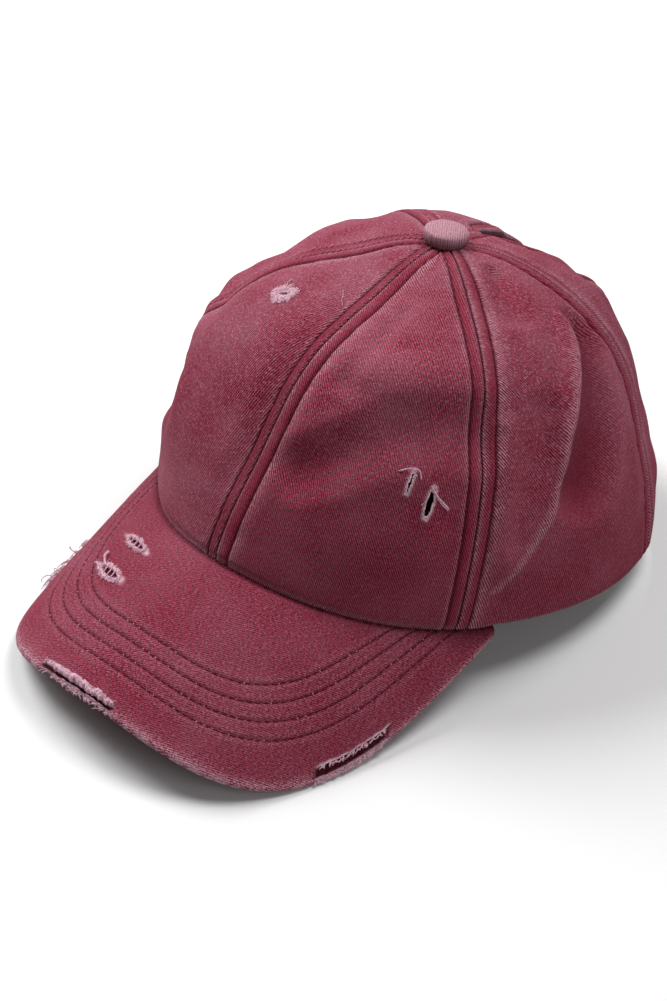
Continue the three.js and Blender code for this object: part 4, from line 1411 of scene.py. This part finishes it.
def strands(place, starts, directions, lengths, seed):
    """Loose fibres that start at places on the cloth and run off in directions, wandering as they go."""
    shape = np.random.default_rng(seed)
    count = len(starts)
    share = np.linspace(0, 1, len(FIBRE_TAPER))
    directions = unit(directions)
    sideways = np.stack([-directions[:, 1], directions[:, 0]], -1)
    swing = shape.normal(0, FIBRE_CURL, (count, 1)) * share**FIBRE_CURL_POWER
    swing = swing + shape.normal(0, FIBRE_WAVE, (count, 1)) * np.sin(share * FIBRE_WAVE_TURN)
    ahead = directions[:, None] * share[:, None] + sideways[:, None] * swing[..., None]
    spot = starts[:, None] + lengths[:, None, None] * ahead
    height = FIBRE_LIFT * shape.uniform(0.2, 1, (count, 1))
    height = height * np.sin(share * shape.uniform(*FIBRE_ARCH, (count, 1)))
    return place(spot[..., 0], spot[..., 1], height + FIBRE_CLEARANCE)


def crown_place(panel_name, turn_deg, rise):
    """A function from millimetres right, up and off the cloth, about a place on a panel, to points."""
    panel = PANELS_BY_NODE[panel_name]
    turn = turn_deg * DEG
    around = girth(turn, rise)
    upward = climb(turn, rise)

    def place(right, up, height):
        turns = turn + right / around
        rises = rise + up / upward
        return cloth_point(panel, turns, rises, -np.asarray(height))

    return place


def brim_place(middle_p, middle_q):
    """The same about a place on the brim. Right is towards the wearer's left, and up is forward."""

    def place(right, up, height):
        p, q = middle_p + right, middle_q + up
        return brim_point(p, q, uneven(triples(p, q), BRIM_WRINKLES) + height)

    return place


def joined(parts):
    """Several lots of points and faces as one."""
    points = []
    faces = []
    total = 0
    for part_points, part_faces in parts:
        points.append(part_points)
        faces += [[int(corner) + total for corner in face] for face in part_faces]
        total += len(part_points)
    return np.concatenate(points), faces


# Fibres, longer threads and the rolled lip of the torn edge.
FIBRE_TAPER = np.array([1, 1.05, 1, 0.95, 0.85, 0.75, 0.6, 0.35])
FIBRE_LOOK_AHEAD = 0.5
FIBRE_LIFT = 0.5
FIBRE_CLEARANCE = 0.08
FIBRE_ARCH = (1.2, 2.8)
FIBRE_CURL = 0.4
FIBRE_CURL_POWER = 1.5
FIBRE_WAVE = FIBRE_CURL / 3
FIBRE_WAVE_TURN = 7
SHARE_PER_MM = QUARTER / (BRIM_HALF_WIDTH + BRIM_LENGTH) / 1.2
THREAD_SAMPLES = 28
THREAD_SOFTENING = 4
ROLL_STEPS = 90
ROLL_SIDES = 9


def ring_fibres(place, length, width, lean, border, count, seed, reach):
    """Fibres that leave the rim of a worn slit on all sides."""
    shape = np.random.default_rng(seed)
    angle = shape.uniform(0, 2 * np.pi, count)
    across = np.sin(angle) * (width / 2 + border * shape.uniform(0.2, 1, count))
    along = np.cos(angle) * (length / 2 + border * shape.uniform(0.2, 1, count))
    starts = np.stack(leaning(across, along, lean), -1)
    heading = np.arctan2(starts[:, 1], starts[:, 0]) + shape.normal(0, 0.7, count)
    directions = np.stack([np.cos(heading), np.sin(heading)], -1)
    return strands(place, starts, directions, shape.uniform(*reach, count), seed + 1)


def drawn_thread(place, spots, heights, radius):
    """One longer thread through chosen places, in millimetres right and up of the middle."""
    knots = np.linspace(0, 1, len(spots))
    share = np.linspace(0, 1, THREAD_SAMPLES)
    line = []
    for values in (*np.array(spots, float).T, heights):
        softened = np.interp(share, knots, values)
        for _ in range(THREAD_SOFTENING):
            softened[1:-1] = (softened[:-2] + 2 * softened[1:-1] + softened[2:]) / 4
        line.append(softened)
    return tubes(place(*line)[None], radius)


# The worn star and the two tears: length and width as drawn, border, count, seed and reach of their
# fibres, and the fibres' radius.
STAR_SIZE = (3.9, 0.9)
STAR_BORDER = 3.2
STAR_LOBES = (5, 7, 11)
STAR_RING_SEED = 3
TEAR_WIDER = 0.3
CROWN_FIBRES = [
    (3.2, 200, 4, (0.5, 1.5), 0.13),
    (0.3, 60, 11, (0.4, 1.1), 0.17),
    (0.3, 90, 12, (0.4, 1.1), 0.17),
]

# Longer threads on the crown: the slit, then places right and up of it, heights and the radius.
CROWN_THREADS = [
    (0, [(-2.5, 1.5), (-4.3, 2.7), (-5.6, 4.0)], [0.4, 0.9, 0.5], 0.16),
    (1, [(-4.6, 3.4), (-2.2, 4.4), (0.4, 5.0), (2.6, 4.3), (3.3, 1.6)], [0.3, 0.9, 1.1, 1.0, 0.4], 0.24),
    (2, [(0.3, 5.2), (2.2, 2.6), (4.4, 0.6), (6.6, -1.6)], [0.4, 0.9, 0.8, 0.5], 0.3),
    (2, [(0.2, 4.4), (2.6, 1.6), (4.6, -0.5), (6.4, -2.0)], [0.3, 0.6, 0.7, 0.6], 0.24),
    (2, [(-0.6, 3.6), (-0.9, 1.6), (-1.6, 0.2), (-2.6, -0.6)], [0.6, 0.8, 0.7, 0.5], 0.18),
]
LONE_THREAD_PLACE = ("panel_front_right", -14, 0.69)
LONE_THREAD = ([(-3.6, 2.6), (-1.2, 1.4), (0.4, -0.4), (2.6, -1.6)], [0.3, 0.7, 0.6, 0.3], 0.09)


def make_crown_frays():
    """The worn star on the right front panel, the two tears on the left one and the loose threads."""
    places = [crown_place(slit["panel"], slit["turn"], slit["rise"]) for slit in SLIT_LIST]
    sizes = [STAR_SIZE]
    for slit in SLIT_LIST[1:]:
        sizes.append((slit["length"] * HEAD_HALF_WIDTH, slit["width"] * HEAD_HALF_WIDTH + TEAR_WIDER))
    leans = [slit["lean"] for slit in SLIT_LIST]
    parts = [fuzz_ring(places[0], *STAR_SIZE, leans[0], STAR_BORDER, STAR_LOBES, STAR_RING_SEED)]
    for place, size, lean, (*fibres, radius) in zip(places, sizes, leans, CROWN_FIBRES):
        parts.append(tubes(ring_fibres(place, *size, lean, *fibres), radius * FIBRE_TAPER))
    for slit, *thread in CROWN_THREADS:
        parts.append(drawn_thread(places[slit], *thread))
    parts.append(drawn_thread(crown_place(*LONE_THREAD_PLACE), *LONE_THREAD))
    add_strands("crown_frays", parts)


# The fibres round the brim's holes, and the yarns that cross them at places along them.
HOLE_LOBES = (5, 8, 13)
HOLE_FIRST_SEED = 31
HOLE_FIBRES = 130
HOLE_FIBRE_REACH = (0.6, 1.8)
HOLE_FIBRE_RADIUS = 0.14
HOLE_CROSSINGS = (-2.6, 0.4, 3.1)
CROSSING_SPOTS = [(-0.6, -2.2), (0, -0.6), (0.4, 1.0), (0.2, 2.4)]
CROSSING_THREAD = ([0.5, 0.5, 0.6, 0.5], 0.26)

# Two thicker rags that hang from the outer hole.
BRIM_RAGS = [
    ([(-4.5, -1.5), (-6.5, -3.4), (-8.0, -4.6), (-9.0, -6.8)], [0.6, 1.2, 1.4, 0.8], 0.5),
    ([(-5.5, 1.0), (-7.8, -0.6), (-9.6, -1.4), (-11.4, -1.2)], [0.6, 1.0, 1.2, 0.6], 0.42),
]


def make_brim_frays():
    """The ragged rims of the brim's holes, with the yarns across them and beside them."""
    parts = []
    for seed, hole in enumerate(BRIM_HOLE_LIST, HOLE_FIRST_SEED):
        place = brim_place(hole["p"], hole["q"])
        form = (place, hole["length"], hole["width"], -hole["lean"], hole["border"])
        parts.append(fuzz_ring(*form, HOLE_LOBES, seed))
        fibres = ring_fibres(*form, HOLE_FIBRES, seed, HOLE_FIBRE_REACH)
        parts.append(tubes(fibres, HOLE_FIBRE_RADIUS * FIBRE_TAPER))
        for along in HOLE_CROSSINGS:
            spots = [(along + right, up) for right, up in CROSSING_SPOTS]
            parts.append(drawn_thread(place, spots, *CROSSING_THREAD))
    for rag in BRIM_RAGS:
        parts.append(drawn_thread(place, *rag))
    add_strands("brim_hole_frays", parts)


def edge_place(share, from_edge, height):
    """A point of the brim by its place along the edge, distance in from it and height off the cloth."""
    return brim_point(*brim_places(share, from_edge), height)


def edge_fibres(tear, from_edge, heading, count, seed, reach, height, radius, spring, slanted):
    """Fibres along a torn edge. heading is 1 for out over the edge and -1 for in over the slot."""
    shape = np.random.default_rng(seed)
    share = shape.uniform(tear["start"], tear["end"], count)
    length = shape.uniform(*reach, count)
    steps = np.linspace(0, 1, len(FIBRE_TAPER))
    slant = shape.normal(0, slanted, (count, 1)) * steps
    slant = slant + shape.normal(0, 0.2, (count, 1)) * np.sin(6 * steps)
    shares = share[:, None] + slant * length[:, None] * SHARE_PER_MM
    inset = from_edge + shape.normal(0, 0.25, (count, 1)) - heading * length[:, None] * steps
    rise = height + spring * shape.uniform(0, 1, (count, 1)) * np.sin(steps * 2.4)
    outside = np.maximum(-inset, 0)
    p, q = brim_places(shares, np.maximum(inset, 0))
    root_p, root_q = root_place(shares * BRIM_END)
    ahead = unit(np.stack([p - root_p, q - root_q], -1)) * FIBRE_LOOK_AHEAD
    outward = unit(brim_base(p + ahead[..., 0], q + ahead[..., 1]) - brim_base(p, q))
    return tubes(brim_point(p, q, rise) + outward * outside[..., None], radius * FIBRE_TAPER)


def edge_roll(tear, from_edge, radius, height, seed):
    """A rolled lip of worn cloth along a torn stretch of the edge."""
    shape = np.random.default_rng(seed)
    share = np.linspace(tear["start"], tear["end"], ROLL_STEPS)
    inset = from_edge + 0.25 * shape.normal(size=ROLL_STEPS)
    line = edge_place(share, inset, height + 0.12 * shape.normal(size=ROLL_STEPS))
    ends = np.sin(np.linspace(0.08, np.pi - 0.08, ROLL_STEPS)) ** 0.3
    lumps = (1 + 0.2 * shape.normal(size=ROLL_STEPS)).clip(0.6, 1.4)
    points, faces = tubes(line[None], radius * ends * lumps, sides=ROLL_SIDES)
    return points + 0.12 * noise(points, 0.9)[:, None], faces


# Fibres along the torn edges: which tear, distance in from the edge, heading, count, seed, reach, height,
# radius, spring and slant.
FRONT_ROLL = (4.0, 1.25, 0.1, 51)
EDGE_FIBRES = [
    ("front", 4.1, -1, 90, 53, (0.4, 1.1), 0.6, 0.14, 0.5, 0.5),
    ("front", 4.4, 1, 60, 54, (0.4, 1.0), 0.6, 0.14, 0.5, 0.5),
    ("front", 0.9, 1, 70, 56, (0.6, 1.7), -0.7, 0.14, 0.5, 0.5),
    ("left_corner", 6.1, 1, 46, 57, (0.6, 1.5), 0.2, 0.2, 0.2, 0.12),
    ("left_corner", 1.1, 1, 130, 59, (0.5, 1.7), -0.5, 0.16, 0.5, 0.5),
    ("left_corner", 1.2, -1, 70, 60, (0.3, 0.9), -0.2, 0.16, 0.5, 0.5),
    ("right_corner", 0.8, 1, 110, 61, (1.0, 2.6), -0.3, 0.16, 1.6, 0.5),
    ("right_corner", 0.8, 1, 9, 62, (3.0, 5.0), -0.3, 0.2, 4.5, 0.5),
]


def make_edge_frays():
    """What is left of the brim's cloth along its torn stretches."""
    tears = {tear["name"]: tear for tear in EDGE_TEAR_LIST}
    parts = [edge_roll(tears["front"], *FRONT_ROLL)]
    for name, *fibres in EDGE_FIBRES:
        parts.append(edge_fibres(tears[name], *fibres))
    add_strands("brim_edge_frays", parts)


# Materials.
def linear(red, green, blue):
    """A display colour from 0 to 255 as Blender's linear one."""
    share = np.array([red, green, blue]) / 255
    return tuple(np.where(share <= 0.04045, share / 12.92, ((share + 0.055) / 1.055) ** 2.4)) + (1,)


BODY = linear(168, 56, 82)
RIB_SHADE = linear(66, 5, 18)
WASHED = linear(212, 156, 173)
STRIP_RED = linear(128, 26, 48)
# The dark red of painted shade, laid over seams, stitch rows, hollows and other shaded places.
PAINTED_SHADE_RED = linear(58, 6, 20)
FRAYED = linear(236, 202, 214)
BUTTON_BODY = linear(188, 148, 158)
BUTTON_SHADE = linear(150, 98, 112)
THREAD_RED = linear(72, 8, 24)
THREAD_PALE = linear(98, 20, 40)
FRAY_SHADE = linear(172, 114, 136)
FRAY_PATCHES = linear(176, 112, 134)
THREAD_GRAIN = 1800
YARN_RANGE_OF_FRAY = (0.34, 0.68)
FRAY_GRAIN = 1500
FRAY_PATCH_GRAIN = 420
STRAP_BODY = linear(118, 52, 74)
BAND_BODY = linear(112, 46, 68)
# The near-black of the sheets behind the slits: painted shadow.
PAINTED_SHADOW_SHEET = linear(30, 6, 12)
PAINTED_SHADOW_SHEET_RIBS = linear(12, 2, 5)


class Shader:
    """A material under construction."""

    def __init__(self, name, roughness, sheen):
        self.material = bpy.data.materials.new(name)
        self.material.use_nodes = True
        self.tree = self.material.node_tree
        self.surface = self.tree.nodes["Principled BSDF"]
        self.surface.inputs["Roughness"].default_value = roughness
        self.surface.inputs["Sheen Weight"].default_value = sheen
        self.surface.inputs["Sheen Roughness"].default_value = 0.5
        self.surface.inputs["Sheen Tint"].default_value = FRAYED
        self.surface.inputs["Specular IOR Level"].default_value = 0.06

    def put(self, socket, value):
        if isinstance(value, bpy.types.NodeSocket):
            self.tree.links.new(value, socket)
        else:
            socket.default_value = value

    def mark(self, name, output="Fac"):
        node = self.tree.nodes.new("ShaderNodeAttribute")
        node.attribute_name = name
        return node.outputs[output]

    def math(self, operation, first, second=0.0, clamped=False):
        node = self.tree.nodes.new("ShaderNodeMath")
        node.operation = operation
        node.use_clamp = clamped
        self.put(node.inputs[0], first)
        self.put(node.inputs[1], second)
        return node.outputs[0]

    def times(self, first, second):
        return self.math("MULTIPLY", first, second)

    def plus(self, first, second, clamped=False):
        return self.math("ADD", first, second, clamped)

    def rest(self, share):
        """1 less a share."""
        return self.math("SUBTRACT", 1.0, share)

    def stretch(self, value, low, high, to_low=0.0, to_high=1.0):
        node = self.tree.nodes.new("ShaderNodeMapRange")
        self.put(node.inputs["Value"], value)
        node.inputs["From Min"].default_value = low
        node.inputs["From Max"].default_value = high
        node.inputs["To Min"].default_value = to_low
        node.inputs["To Max"].default_value = to_high
        return node.outputs["Result"]

    def scaled(self, vector, scale):
        node = self.tree.nodes.new("ShaderNodeVectorMath")
        node.operation = "MULTIPLY"
        self.put(node.inputs[0], vector)
        node.inputs[1].default_value = scale
        return node.outputs[0]

    def stretched_noise(self, vector, scales, detail, roughness=0.55):
        """Noise that is drawn out along the cloth's own axes."""
        return self.noise(self.scaled(vector, scales), 1.0, detail, roughness)

    def noise(self, vector, scale, detail, roughness=0.55):
        node = self.tree.nodes.new("ShaderNodeTexNoise")
        self.put(node.inputs["Vector"], vector)
        node.inputs["Scale"].default_value = scale
        node.inputs["Detail"].default_value = detail
        node.inputs["Roughness"].default_value = roughness
        return node.outputs["Fac"]

    def blend(self, share, first, second):
        node = self.tree.nodes.new("ShaderNodeMix")
        node.data_type = "RGBA"
        self.put(node.inputs["Factor"], share)
        self.put(node.inputs[6], first)
        self.put(node.inputs[7], second)
        return node.outputs[2]

    def split(self, vector):
        node = self.tree.nodes.new("ShaderNodeSeparateXYZ")
        self.put(node.inputs[0], vector)
        return node.outputs

    def finish(self, colour, height, depth_mm):
        self.put(self.surface.inputs["Base Color"], colour)
        bump = self.tree.nodes.new("ShaderNodeBump")
        bump.inputs["Distance"].default_value = depth_mm * MM
        self.put(bump.inputs["Height"], height)
        self.put(self.surface.inputs["Normal"], bump.outputs["Normal"])
        return self.material


# The weave, by repeats to the millimetre along the cloth's own axes: how the ribs wander, the beads and
# grains of yarn, its thick places and flecks, and the patches of the washing.
WANDER_SCALES = (0.2, 0.06, 0.5)
WANDER = 4.0
BEAD_SCALES = (1.7, 1.0, 1.0)
BEAD_SHARE = 0.45
GRAIN_SCALES = (2.7, 2.0, 1.0)
YARN_RANGE = (0.34, 0.66)
TEXTURE_RANGE = (0.18, 0.82)
SLUB_SCALES = (1.6, 0.75, 1.0)
SLUB_ROUGHNESS = 0.6
FLECK_SCALES = (2.3, 1.7, 1.3)
SPECKLE_RANGE = (1.0, 1.36)
WASH_SCALES = (0.028, 0.028, 0.02)
WASH_DETAIL = 5
WASH_ROUGHNESS = 0.62
WASH_RANGE = (0.38, 0.75)
RUBBED_RANGE = (0.75, 1.6)
STRIP_KEEPS = 0.6
STRIP_TINT = 0.4
PAINTED_SHADE_STRENGTH = 0.85
TWILL_ROUGHNESS = 0.92
TWILL_SHEEN = 0.07


def twill(name, body, shade, period, rib_strength, wash_most=0.3, speckled=0.5, depth=0.16):
    """Washed twill: ribs on the cloth's own axes, rubbed pale where it is worn, deep red in the seams,
    darkened by painted shade.
    """
    made = Shader(name, TWILL_ROUGHNESS, TWILL_SHEEN)
    cloth = made.mark("cloth", "Vector")
    across, _, _ = made.split(cloth)
    wander = made.stretched_noise(cloth, WANDER_SCALES, 2)
    phase = made.plus(made.times(across, 2 * np.pi / period), made.times(wander, WANDER))
    rib = made.stretch(made.math("SINE", phase), -1, 1)
    bead = made.stretch(made.stretched_noise(cloth, BEAD_SCALES, 1), *YARN_RANGE)
    grain = made.stretch(made.stretched_noise(cloth, GRAIN_SCALES, 1), *YARN_RANGE)
    loose = made.plus(made.times(bead, BEAD_SHARE), made.times(grain, 1 - BEAD_SHARE))
    texture = made.plus(made.times(rib, rib_strength), made.times(loose, 1 - rib_strength))
    texture = made.stretch(texture, *TEXTURE_RANGE)
    wash = made.stretched_noise(cloth, WASH_SCALES, WASH_DETAIL, WASH_ROUGHNESS)
    wash = made.stretch(wash, *WASH_RANGE, 0.0, wash_most)
    slub = made.stretched_noise(cloth, SLUB_SCALES, 2, SLUB_ROUGHNESS)
    fleck = made.stretched_noise(cloth, FLECK_SCALES, 1)
    speckle = made.stretch(made.plus(slub, fleck), *SPECKLE_RANGE, 0.0, speckled)
    rubbed = made.times(made.mark("wear"), made.stretch(made.plus(texture, slub), *RUBBED_RANGE))
    strip = made.mark("strip")
    # Painted shade: the pale wash is held back where marked, so the red stays deep.
    kept = made.times(made.rest(made.times(strip, STRIP_KEEPS)), made.rest(made.mark("painted_shade_saturation")))
    wash = made.plus(made.times(made.plus(wash, speckle), kept), rubbed, clamped=True)
    colour = made.blend(texture, shade, body)
    colour = made.blend(made.times(strip, STRIP_TINT), colour, STRIP_RED)
    colour = made.blend(wash, colour, WASHED)
    # Painted shade: darkens the cloth towards a dark red where it is marked.
    colour = made.blend(made.times(made.mark("painted_shade"), PAINTED_SHADE_STRENGTH), colour, PAINTED_SHADE_RED)
    colour = made.blend(made.mark("fray"), colour, FRAYED)
    return made.finish(colour, texture, depth)


def thread_material():
    made = Shader("stitching_thread", 0.6, 0.1)
    texture = made.tree.nodes.new("ShaderNodeTexCoord")
    grain = made.noise(texture.outputs["Object"], THREAD_GRAIN, 2)
    colour = made.blend(made.stretch(grain, 0.3, 0.7), THREAD_RED, THREAD_PALE)
    return made.finish(colour, grain, 0.1)


# Loose fluff glows faintly: painted light standing in for some of the light that passes through it from
# behind.
FLUFF_PAINTED_GLOW = 0.1


def fray_material():
    made = Shader("frayed_cotton", 0.95, 0.25)
    texture = made.tree.nodes.new("ShaderNodeTexCoord")
    grain = made.noise(texture.outputs["Object"], FRAY_GRAIN, 3, 0.7)
    darker = made.noise(texture.outputs["Object"], FRAY_PATCH_GRAIN, 2)
    colour = made.blend(made.stretch(grain, *YARN_RANGE_OF_FRAY), FRAY_SHADE, FRAYED)
    colour = made.blend(made.stretch(darker, 0.55, 0.75, 0.0, 0.5), colour, FRAY_PATCHES)
    # Painted light: the fluff glows in its own colour.
    made.put(made.surface.inputs["Emission Color"], colour)
    made.surface.inputs["Emission Strength"].default_value = FLUFF_PAINTED_GLOW
    return made.finish(colour, grain, 0.5)


MATERIALS = {
    "crown_twill": twill("crown_twill", BODY, RIB_SHADE, 0.77, 0.58, 0.23, 0.46),
    "brim_twill": twill("brim_twill", BODY, RIB_SHADE, 0.72, 0.3, 0.12, 0.3),
    "button_twill": twill("button_twill", BUTTON_BODY, BUTTON_SHADE, 0.8, 0.3, 0.1, 0.25),
    "strap_twill": twill("strap_twill", STRAP_BODY, RIB_SHADE, 0.78, 0.6),
    # Painted shadow behind the slits.
    "painted_shadow_cotton": twill("painted_shadow_cotton", PAINTED_SHADOW_SHEET, PAINTED_SHADOW_SHEET_RIBS, 0.6, 0.3, 0.0, 0.0),
    "band_cotton": twill("band_cotton", BAND_BODY, RIB_SHADE, 0.7, 0.3),
    "stitching_thread": thread_material(),
    "frayed_cotton": fray_material(),
}


# The camera, at the photograph's angle to the cap. Angles are in the cap's own frame.
CAMERA_AZIMUTH = 39.843 * DEG
CAMERA_ELEVATION = 30.725 * DEG
CAMERA_ROLL = 7.463 * DEG
CAMERA_DISTANCE = 990.65
CAMERA_PIXELS_PER_MM = 2.894
CAMERA_TARGET = np.array([0, -30, 50.0])
CAMERA_OFFSET_RIGHT = -7.269
CAMERA_OFFSET_UP = -33.527


def make_camera():
    azimuth, elevation, roll = CAMERA_AZIMUTH, CAMERA_ELEVATION, CAMERA_ROLL
    level = np.cos(elevation)
    back = np.array([np.sin(azimuth) * level, -np.cos(azimuth) * level, np.sin(elevation)])
    right = np.array([np.cos(azimuth), np.sin(azimuth), 0])
    up = np.cross(back, right)
    right, up = right * np.cos(roll) + up * np.sin(roll), up * np.cos(roll) - right * np.sin(roll)
    spot = CAMERA_TARGET + right * CAMERA_OFFSET_RIGHT + up * CAMERA_OFFSET_UP + back * CAMERA_DISTANCE
    data = bpy.data.cameras.new("camera")
    data.sensor_width = SENSOR_MM
    data.lens = CAMERA_PIXELS_PER_MM * CAMERA_DISTANCE * SENSOR_MM / PHOTO_HEIGHT
    camera = bpy.data.objects.new("camera", data)
    axes = np.array([right, up, back]) @ CAP_AXES
    matrix = Matrix([[*axes[:, row], 0] for row in range(3)] + [[0, 0, 0, 1]])
    matrix.translation = Vector(placed(spot))
    camera.matrix_world = matrix
    bpy.context.scene.collection.objects.link(camera)
    bpy.context.scene.camera = camera


FLOOR_SIZE = 6.0
FLOOR_PALE = 0.92
FLOOR_BOUNCE = 0.45


def make_floor():
    size = FLOOR_SIZE
    mesh = bpy.data.meshes.new("floor")
    corners = [(-size, -size, 0), (size, -size, 0), (size, size, 0), (-size, size, 0)]
    mesh.from_pydata(corners, [], [(0, 1, 2, 3)])
    floor = bpy.data.objects.new("floor", mesh)
    material = bpy.data.materials.new("floor_white")
    material.use_nodes = True
    tree = material.node_tree
    rays = tree.nodes.new("ShaderNodeLightPath")
    tint = tree.nodes.new("ShaderNodeMix")
    tint.data_type = "RGBA"
    tint.inputs[6].default_value = (FLOOR_PALE, FLOOR_PALE, FLOOR_PALE, 1)
    tint.inputs[7].default_value = (FLOOR_BOUNCE, FLOOR_BOUNCE, FLOOR_BOUNCE, 1)
    tree.links.new(rays.outputs["Is Diffuse Ray"], tint.inputs["Factor"])
    surface = tree.nodes["Principled BSDF"]
    tree.links.new(tint.outputs[2], surface.inputs["Base Color"])
    surface.inputs["Roughness"].default_value = 1.0
    mesh.materials.append(material)
    bpy.context.scene.collection.objects.link(floor)


def add_light(name, spot, size, watts):
    data = bpy.data.lights.new(name, "AREA")
    data.shape = "DISK"
    data.size = size
    data.energy = watts
    light = bpy.data.objects.new(name, data)
    light.location = spot
    light.rotation_euler = (LIGHTS_AIM - Vector(spot)).to_track_quat("-Z", "Y").to_euler()
    bpy.context.scene.collection.objects.link(light)


# Soft lights: azimuth from the cap's front towards the wearer's left, elevation, distance and size in
# metres, and power.
LIGHT_COLUMNS = ("name", "azimuth", "elevation", "distance", "size", "watts")
LIGHTS = [
    ("key", -95, 24, 1.5, 1.0, 10.5),
    ("high", -90, 52, 1.5, 0.8, 15),
    ("back", 152, 66, 1.5, 0.8, 12),
    ("side", 85, 25, 1.5, 0.9, 4),
]
LIGHTS_AIM = Vector((0, 0, 0.05))
SKY_STRENGTH = 0.08


def make_lights():
    for light in row_dicts(LIGHTS, LIGHT_COLUMNS):
        azimuth, elevation = light["azimuth"] * DEG, light["elevation"] * DEG
        level = np.cos(elevation) * light["distance"]
        spot = (level * np.sin(azimuth), -level * np.cos(azimuth), np.sin(elevation) * light["distance"])
        add_light(light["name"], spot, light["size"], light["watts"])
    world = bpy.data.worlds.new("studio")
    world.use_nodes = True
    sky = world.node_tree.nodes["Background"]
    sky.inputs["Color"].default_value = (1, 1, 1, 1)
    sky.inputs["Strength"].default_value = SKY_STRENGTH
    bpy.context.scene.world = world


make_camera()
make_floor()
make_lights()
bpy.context.scene.view_settings.view_transform = "Standard"

for panel in PANELS_BY_NODE.values():
    make_panel(panel)
make_seam_stitches()
make_seam_tapes()
make_slit_shadow_patches()
make_brim()
make_brim_stitches()
make_button()
STRAP_END = np.arcsin((OPENING_HALF_WIDTH + STRAP_LAP) / HEAD_HALF_WIDTH)
BAND_END = np.arcsin((OPENING_HALF_WIDTH + STRAP_LAP + BAND_GAP) / HEAD_HALF_WIDTH)
make_band("sweatband_cloth", "sweatband", "band_cotton", BAND_END - np.pi, np.pi - BAND_END,
          SWEATBAND_HEIGHT, SWEATBAND_THICKNESS, 300, (2.0, SWEATBAND_HEIGHT - 2.2))
make_band("closure_strap_cloth", "closure_strap", "strap_twill", np.pi - STRAP_END, np.pi + STRAP_END,
          STRAP_HEIGHT, STRAP_THICKNESS, 60, (2.0, STRAP_HEIGHT - 2.0))
make_crown_frays()
make_brim_frays()
make_edge_frays()
